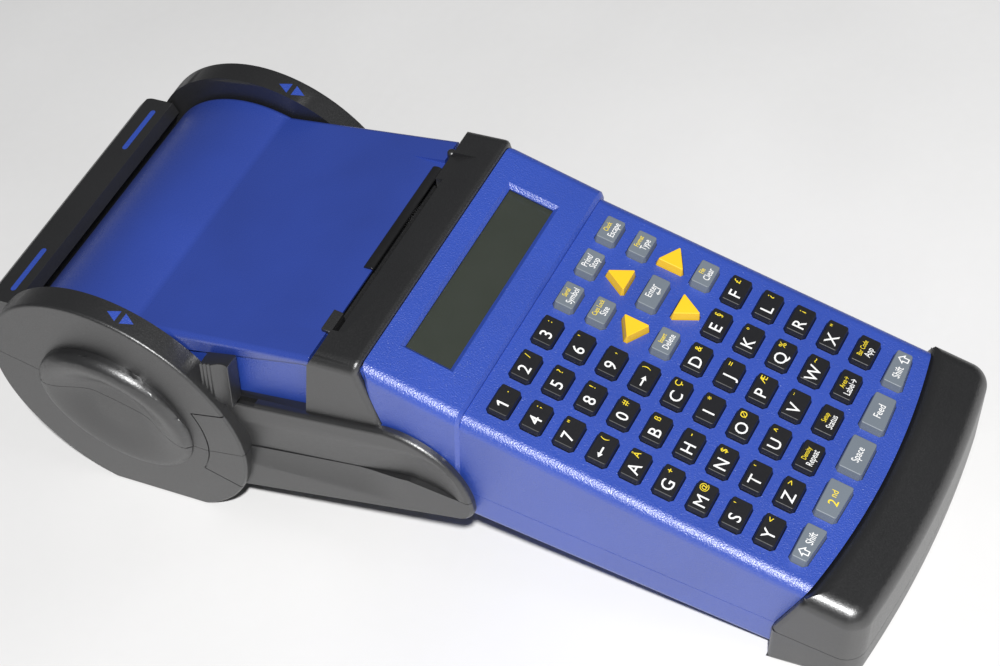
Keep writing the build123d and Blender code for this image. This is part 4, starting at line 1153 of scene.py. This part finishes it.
def inlay_bar(side):
    """Round-ended strip on the sloping top of the rear bar."""
    low, high = bar_ends
    outline = []
    for centre, start in ((high - bar_half_width, -90), (low + bar_half_width, 90)):
        for k in range(bar_end_steps + 1):
            turn = math.radians(start + k * 180 / bar_end_steps)
            outline.append((centre + bar_half_width * math.cos(turn), bar_half_width * math.sin(turn)))
    points = [(side * x, bar_top.x + v, bar_top.y + v * bar_fall + inlay_lift) for x, v in outline]
    face = tuple(range(len(points)))
    return points, [face if side > 0 else tuple(reversed(face))]


def inlay_mesh(name, shapes):
    sheet = bmesh.new()
    for points, faces in shapes:
        mesh = bpy.data.meshes.new("inlay")
        mesh.from_pydata(points, [], faces)
        sheet.from_mesh(mesh)
    bmesh.ops.remove_doubles(sheet, verts=sheet.verts, dist=print_weld)
    mesh = bpy.data.meshes.new(name)
    sheet.to_mesh(mesh)
    sheet.free()
    mesh.transform(CASE)
    return mesh


arrows = [rim_triangle(side * rim_x, way) for side in (-1, 1) for way in (-1, 1)]
add_on("pod_arrows", inlay_mesh("pod_arrows", arrows), "case", finishes["blue_case"])
bars = [inlay_bar(side) for side in (-1, 1)]
add_on("rear_bar_inlays", inlay_mesh("rear_bar_inlays", bars), "case", finishes["blue_case"])
print(len(arrows), "arrows and", len(bars), "bars")

# %% [markdown]
# Six screws hold the halves together from below. One screw with a cross recess is set on
# six points by a second tree, which takes its points from the mesh that it is given.

# %% Screws by Geometry Nodes
screw_x = 41.5
screw_rows = (-87.5, -6.0, 14.0)
screw_head = 2.5
screw_shank = 1.3
screw_seat = -9.4
screw_head_height = 1.8
screw_head_chamfer = 0.5
screw_sides = 24
screw_top = 7.6
cross_arm = 1.5
cross_half = 0.32
cross_depth = 1.0


def screw_mesh():
    """Pan-head screw with a cross recess, head down, in case millimetres."""
    turns = [2 * math.pi * k / screw_sides for k in range(screw_sides)]

    def ring(radius):
        return [Vector((radius * math.cos(t), radius * math.sin(t))) for t in turns]

    face = screw_seat - screw_head_height
    rings = [(ring(screw_head - screw_head_chamfer), face), (ring(screw_head), face + screw_head_chamfer),
             (ring(screw_head), screw_seat), (ring(screw_shank), screw_seat),
             (ring(screw_shank), screw_top)]
    body = linked("screw", ring_stack("screw", rings))
    for angle in (0, math.pi / 2):
        cutter = bpy.data.meshes.new("cross")
        slot = bmesh.new()
        size = Matrix.Diagonal((2 * cross_arm, 2 * cross_half, 2 * cross_depth, 1))
        place = Matrix.Translation((0, 0, face)) @ Matrix.Rotation(angle, 4, "Z")
        bmesh.ops.create_cube(slot, size=1.0, matrix=place @ size)
        slot.to_mesh(cutter)
        slot.free()
        tool = linked("cross", cutter)
        cut = body.modifiers.new("cross", "BOOLEAN")
        cut.object = tool
        cut.solver = "EXACT"
        mesh = plain_mesh(body, "screw")
        body.modifiers.remove(cut)
        body.data = mesh
        bpy.data.objects.remove(tool)
    return body


def scatter_tree():
    tree = bpy.data.node_groups.new("screw_places", "GeometryNodeTree")
    kinds = {"Places": "NodeSocketGeometry", "Cap": "NodeSocketObject", "Material": "NodeSocketMaterial"}
    sockets = {name: input_socket(tree, name, kind) for name, kind in kinds.items()}
    source = tree.nodes.new("NodeGroupInput")
    instance_tail(tree, source.outputs["Places"], source)
    return tree, sockets


places = bpy.data.meshes.new("screw_places")
places.from_pydata([(side * screw_x, y, 0) for side in (-1, 1) for y in screw_rows], [], [])
screw = screw_mesh()
tree, sockets = scatter_tree()
mesh = grown("screws", places, tree, sockets, {"Cap": screw, "Material": finishes["steel"]})
bpy.data.objects.remove(screw)
mesh.transform(CASE)
stand_in("case_screws", mesh, "housing_screws")
print("screws:", len(mesh.polygons), "faces")

# %% [markdown]
# What has no copy, mostly the works inside, keeps the mesh of the frame and only takes the
# finish of its slot.

# %% Finish for the parts that keep their own mesh
for name, part in nodes.items():
    dress(part, finishes[slot_of[name]])
print(len(nodes), "parts have the finish of their slot")

# %% [markdown]
# The camera is worked out once from the keyboard, whose regular rows fix where the
# photographer stood. It is a long lens, slightly rolled.

# %% Camera
camera_in_case = Vector((-418.5, -197.3, 639.0))
camera_azimuth = 49.33
camera_elevation = 45.23
camera_roll = -17.83
focal_pixels = 2600
image_width = 1000
sensor_mm = 36.0

lens = bpy.data.cameras.new("portrait")
lens.sensor_width = sensor_mm
lens.sensor_fit = "HORIZONTAL"
lens.lens = focal_pixels / image_width * sensor_mm
camera = linked("portrait", lens)
camera.matrix_world = (Matrix.Translation(CASE @ camera_in_case)
                       @ Matrix.Rotation(math.radians(-camera_azimuth), 4, "Z")
                       @ Matrix.Rotation(math.radians(90 - camera_elevation), 4, "X")
                       @ Matrix.Rotation(math.radians(camera_roll), 4, "Z"))
bpy.context.scene.camera = camera
bpy.context.scene.view_settings.view_transform = "Standard"
print("lens", round(lens.lens, 1), "mm")

# %% [markdown]
# The table is a plain pale sheet. The light is a small lamp behind and above the lens, so that
# shadows are narrow and lie below the object, and the room around is dim. Most of the
# light on the black sides is then the table's own glow, as on a real tabletop.

# %% Table and light
lamp_above_lens = 0.17
lamp_behind_lens = 0.8
lamp_size = 0.08
lamp_watts = 37.0
lamp_target = Vector((0, 0, 0.04))
room_strength = 0.1
room_tint = (0.95, 0.97, 1.0, 1)
table_half = 3.0
table_blotch_mm = 90
table_grain_mm = 4


def table():
    mesh = bpy.data.meshes.new("table_top")
    signs = ((-1, -1), (1, -1), (1, 1), (-1, 1))
    corners = [(x * table_half, y * table_half, 0) for x, y in signs]
    mesh.from_pydata(corners, [], [(0, 1, 2, 3)])
    piece = linked("table_top", mesh)
    finish, tree, shader, place = new_finish("pale_table")
    slow = spread(tree, noise(tree, place, table_blotch_mm), 0, 1)
    tone = shade(tree, slow, (0.76, 0.755, 0.75), (0.8, 0.795, 0.79))
    tree.links.new(tone, shader.inputs["Base Color"])
    tree.links.new(spread(tree, noise(tree, place, table_grain_mm), 0.45, 0.6), shader.inputs["Roughness"])
    dress(piece, finish)


def lamp(name, place, target, size, watts):
    light = bpy.data.lights.new(name, "AREA")
    light.shape = "DISK"
    light.size = size
    light.energy = watts
    piece = linked(name, light)
    piece.location = place
    piece.rotation_euler = (target - place).to_track_quat("-Z", "Y").to_euler()


def room(strength):
    world = bpy.data.worlds.new("room")
    bpy.context.scene.world = world
    world.use_nodes = True
    sky = world.node_tree.nodes["Background"]
    sky.inputs["Color"].default_value = room_tint
    sky.inputs["Strength"].default_value = strength


table()
lamp_place = camera.matrix_world @ Vector((0, lamp_above_lens, lamp_behind_lens))
lamp("lamp_by_camera", lamp_place, lamp_target, lamp_size, lamp_watts)
room(room_strength)
print("lamp of", lamp_watts, "W behind the camera")
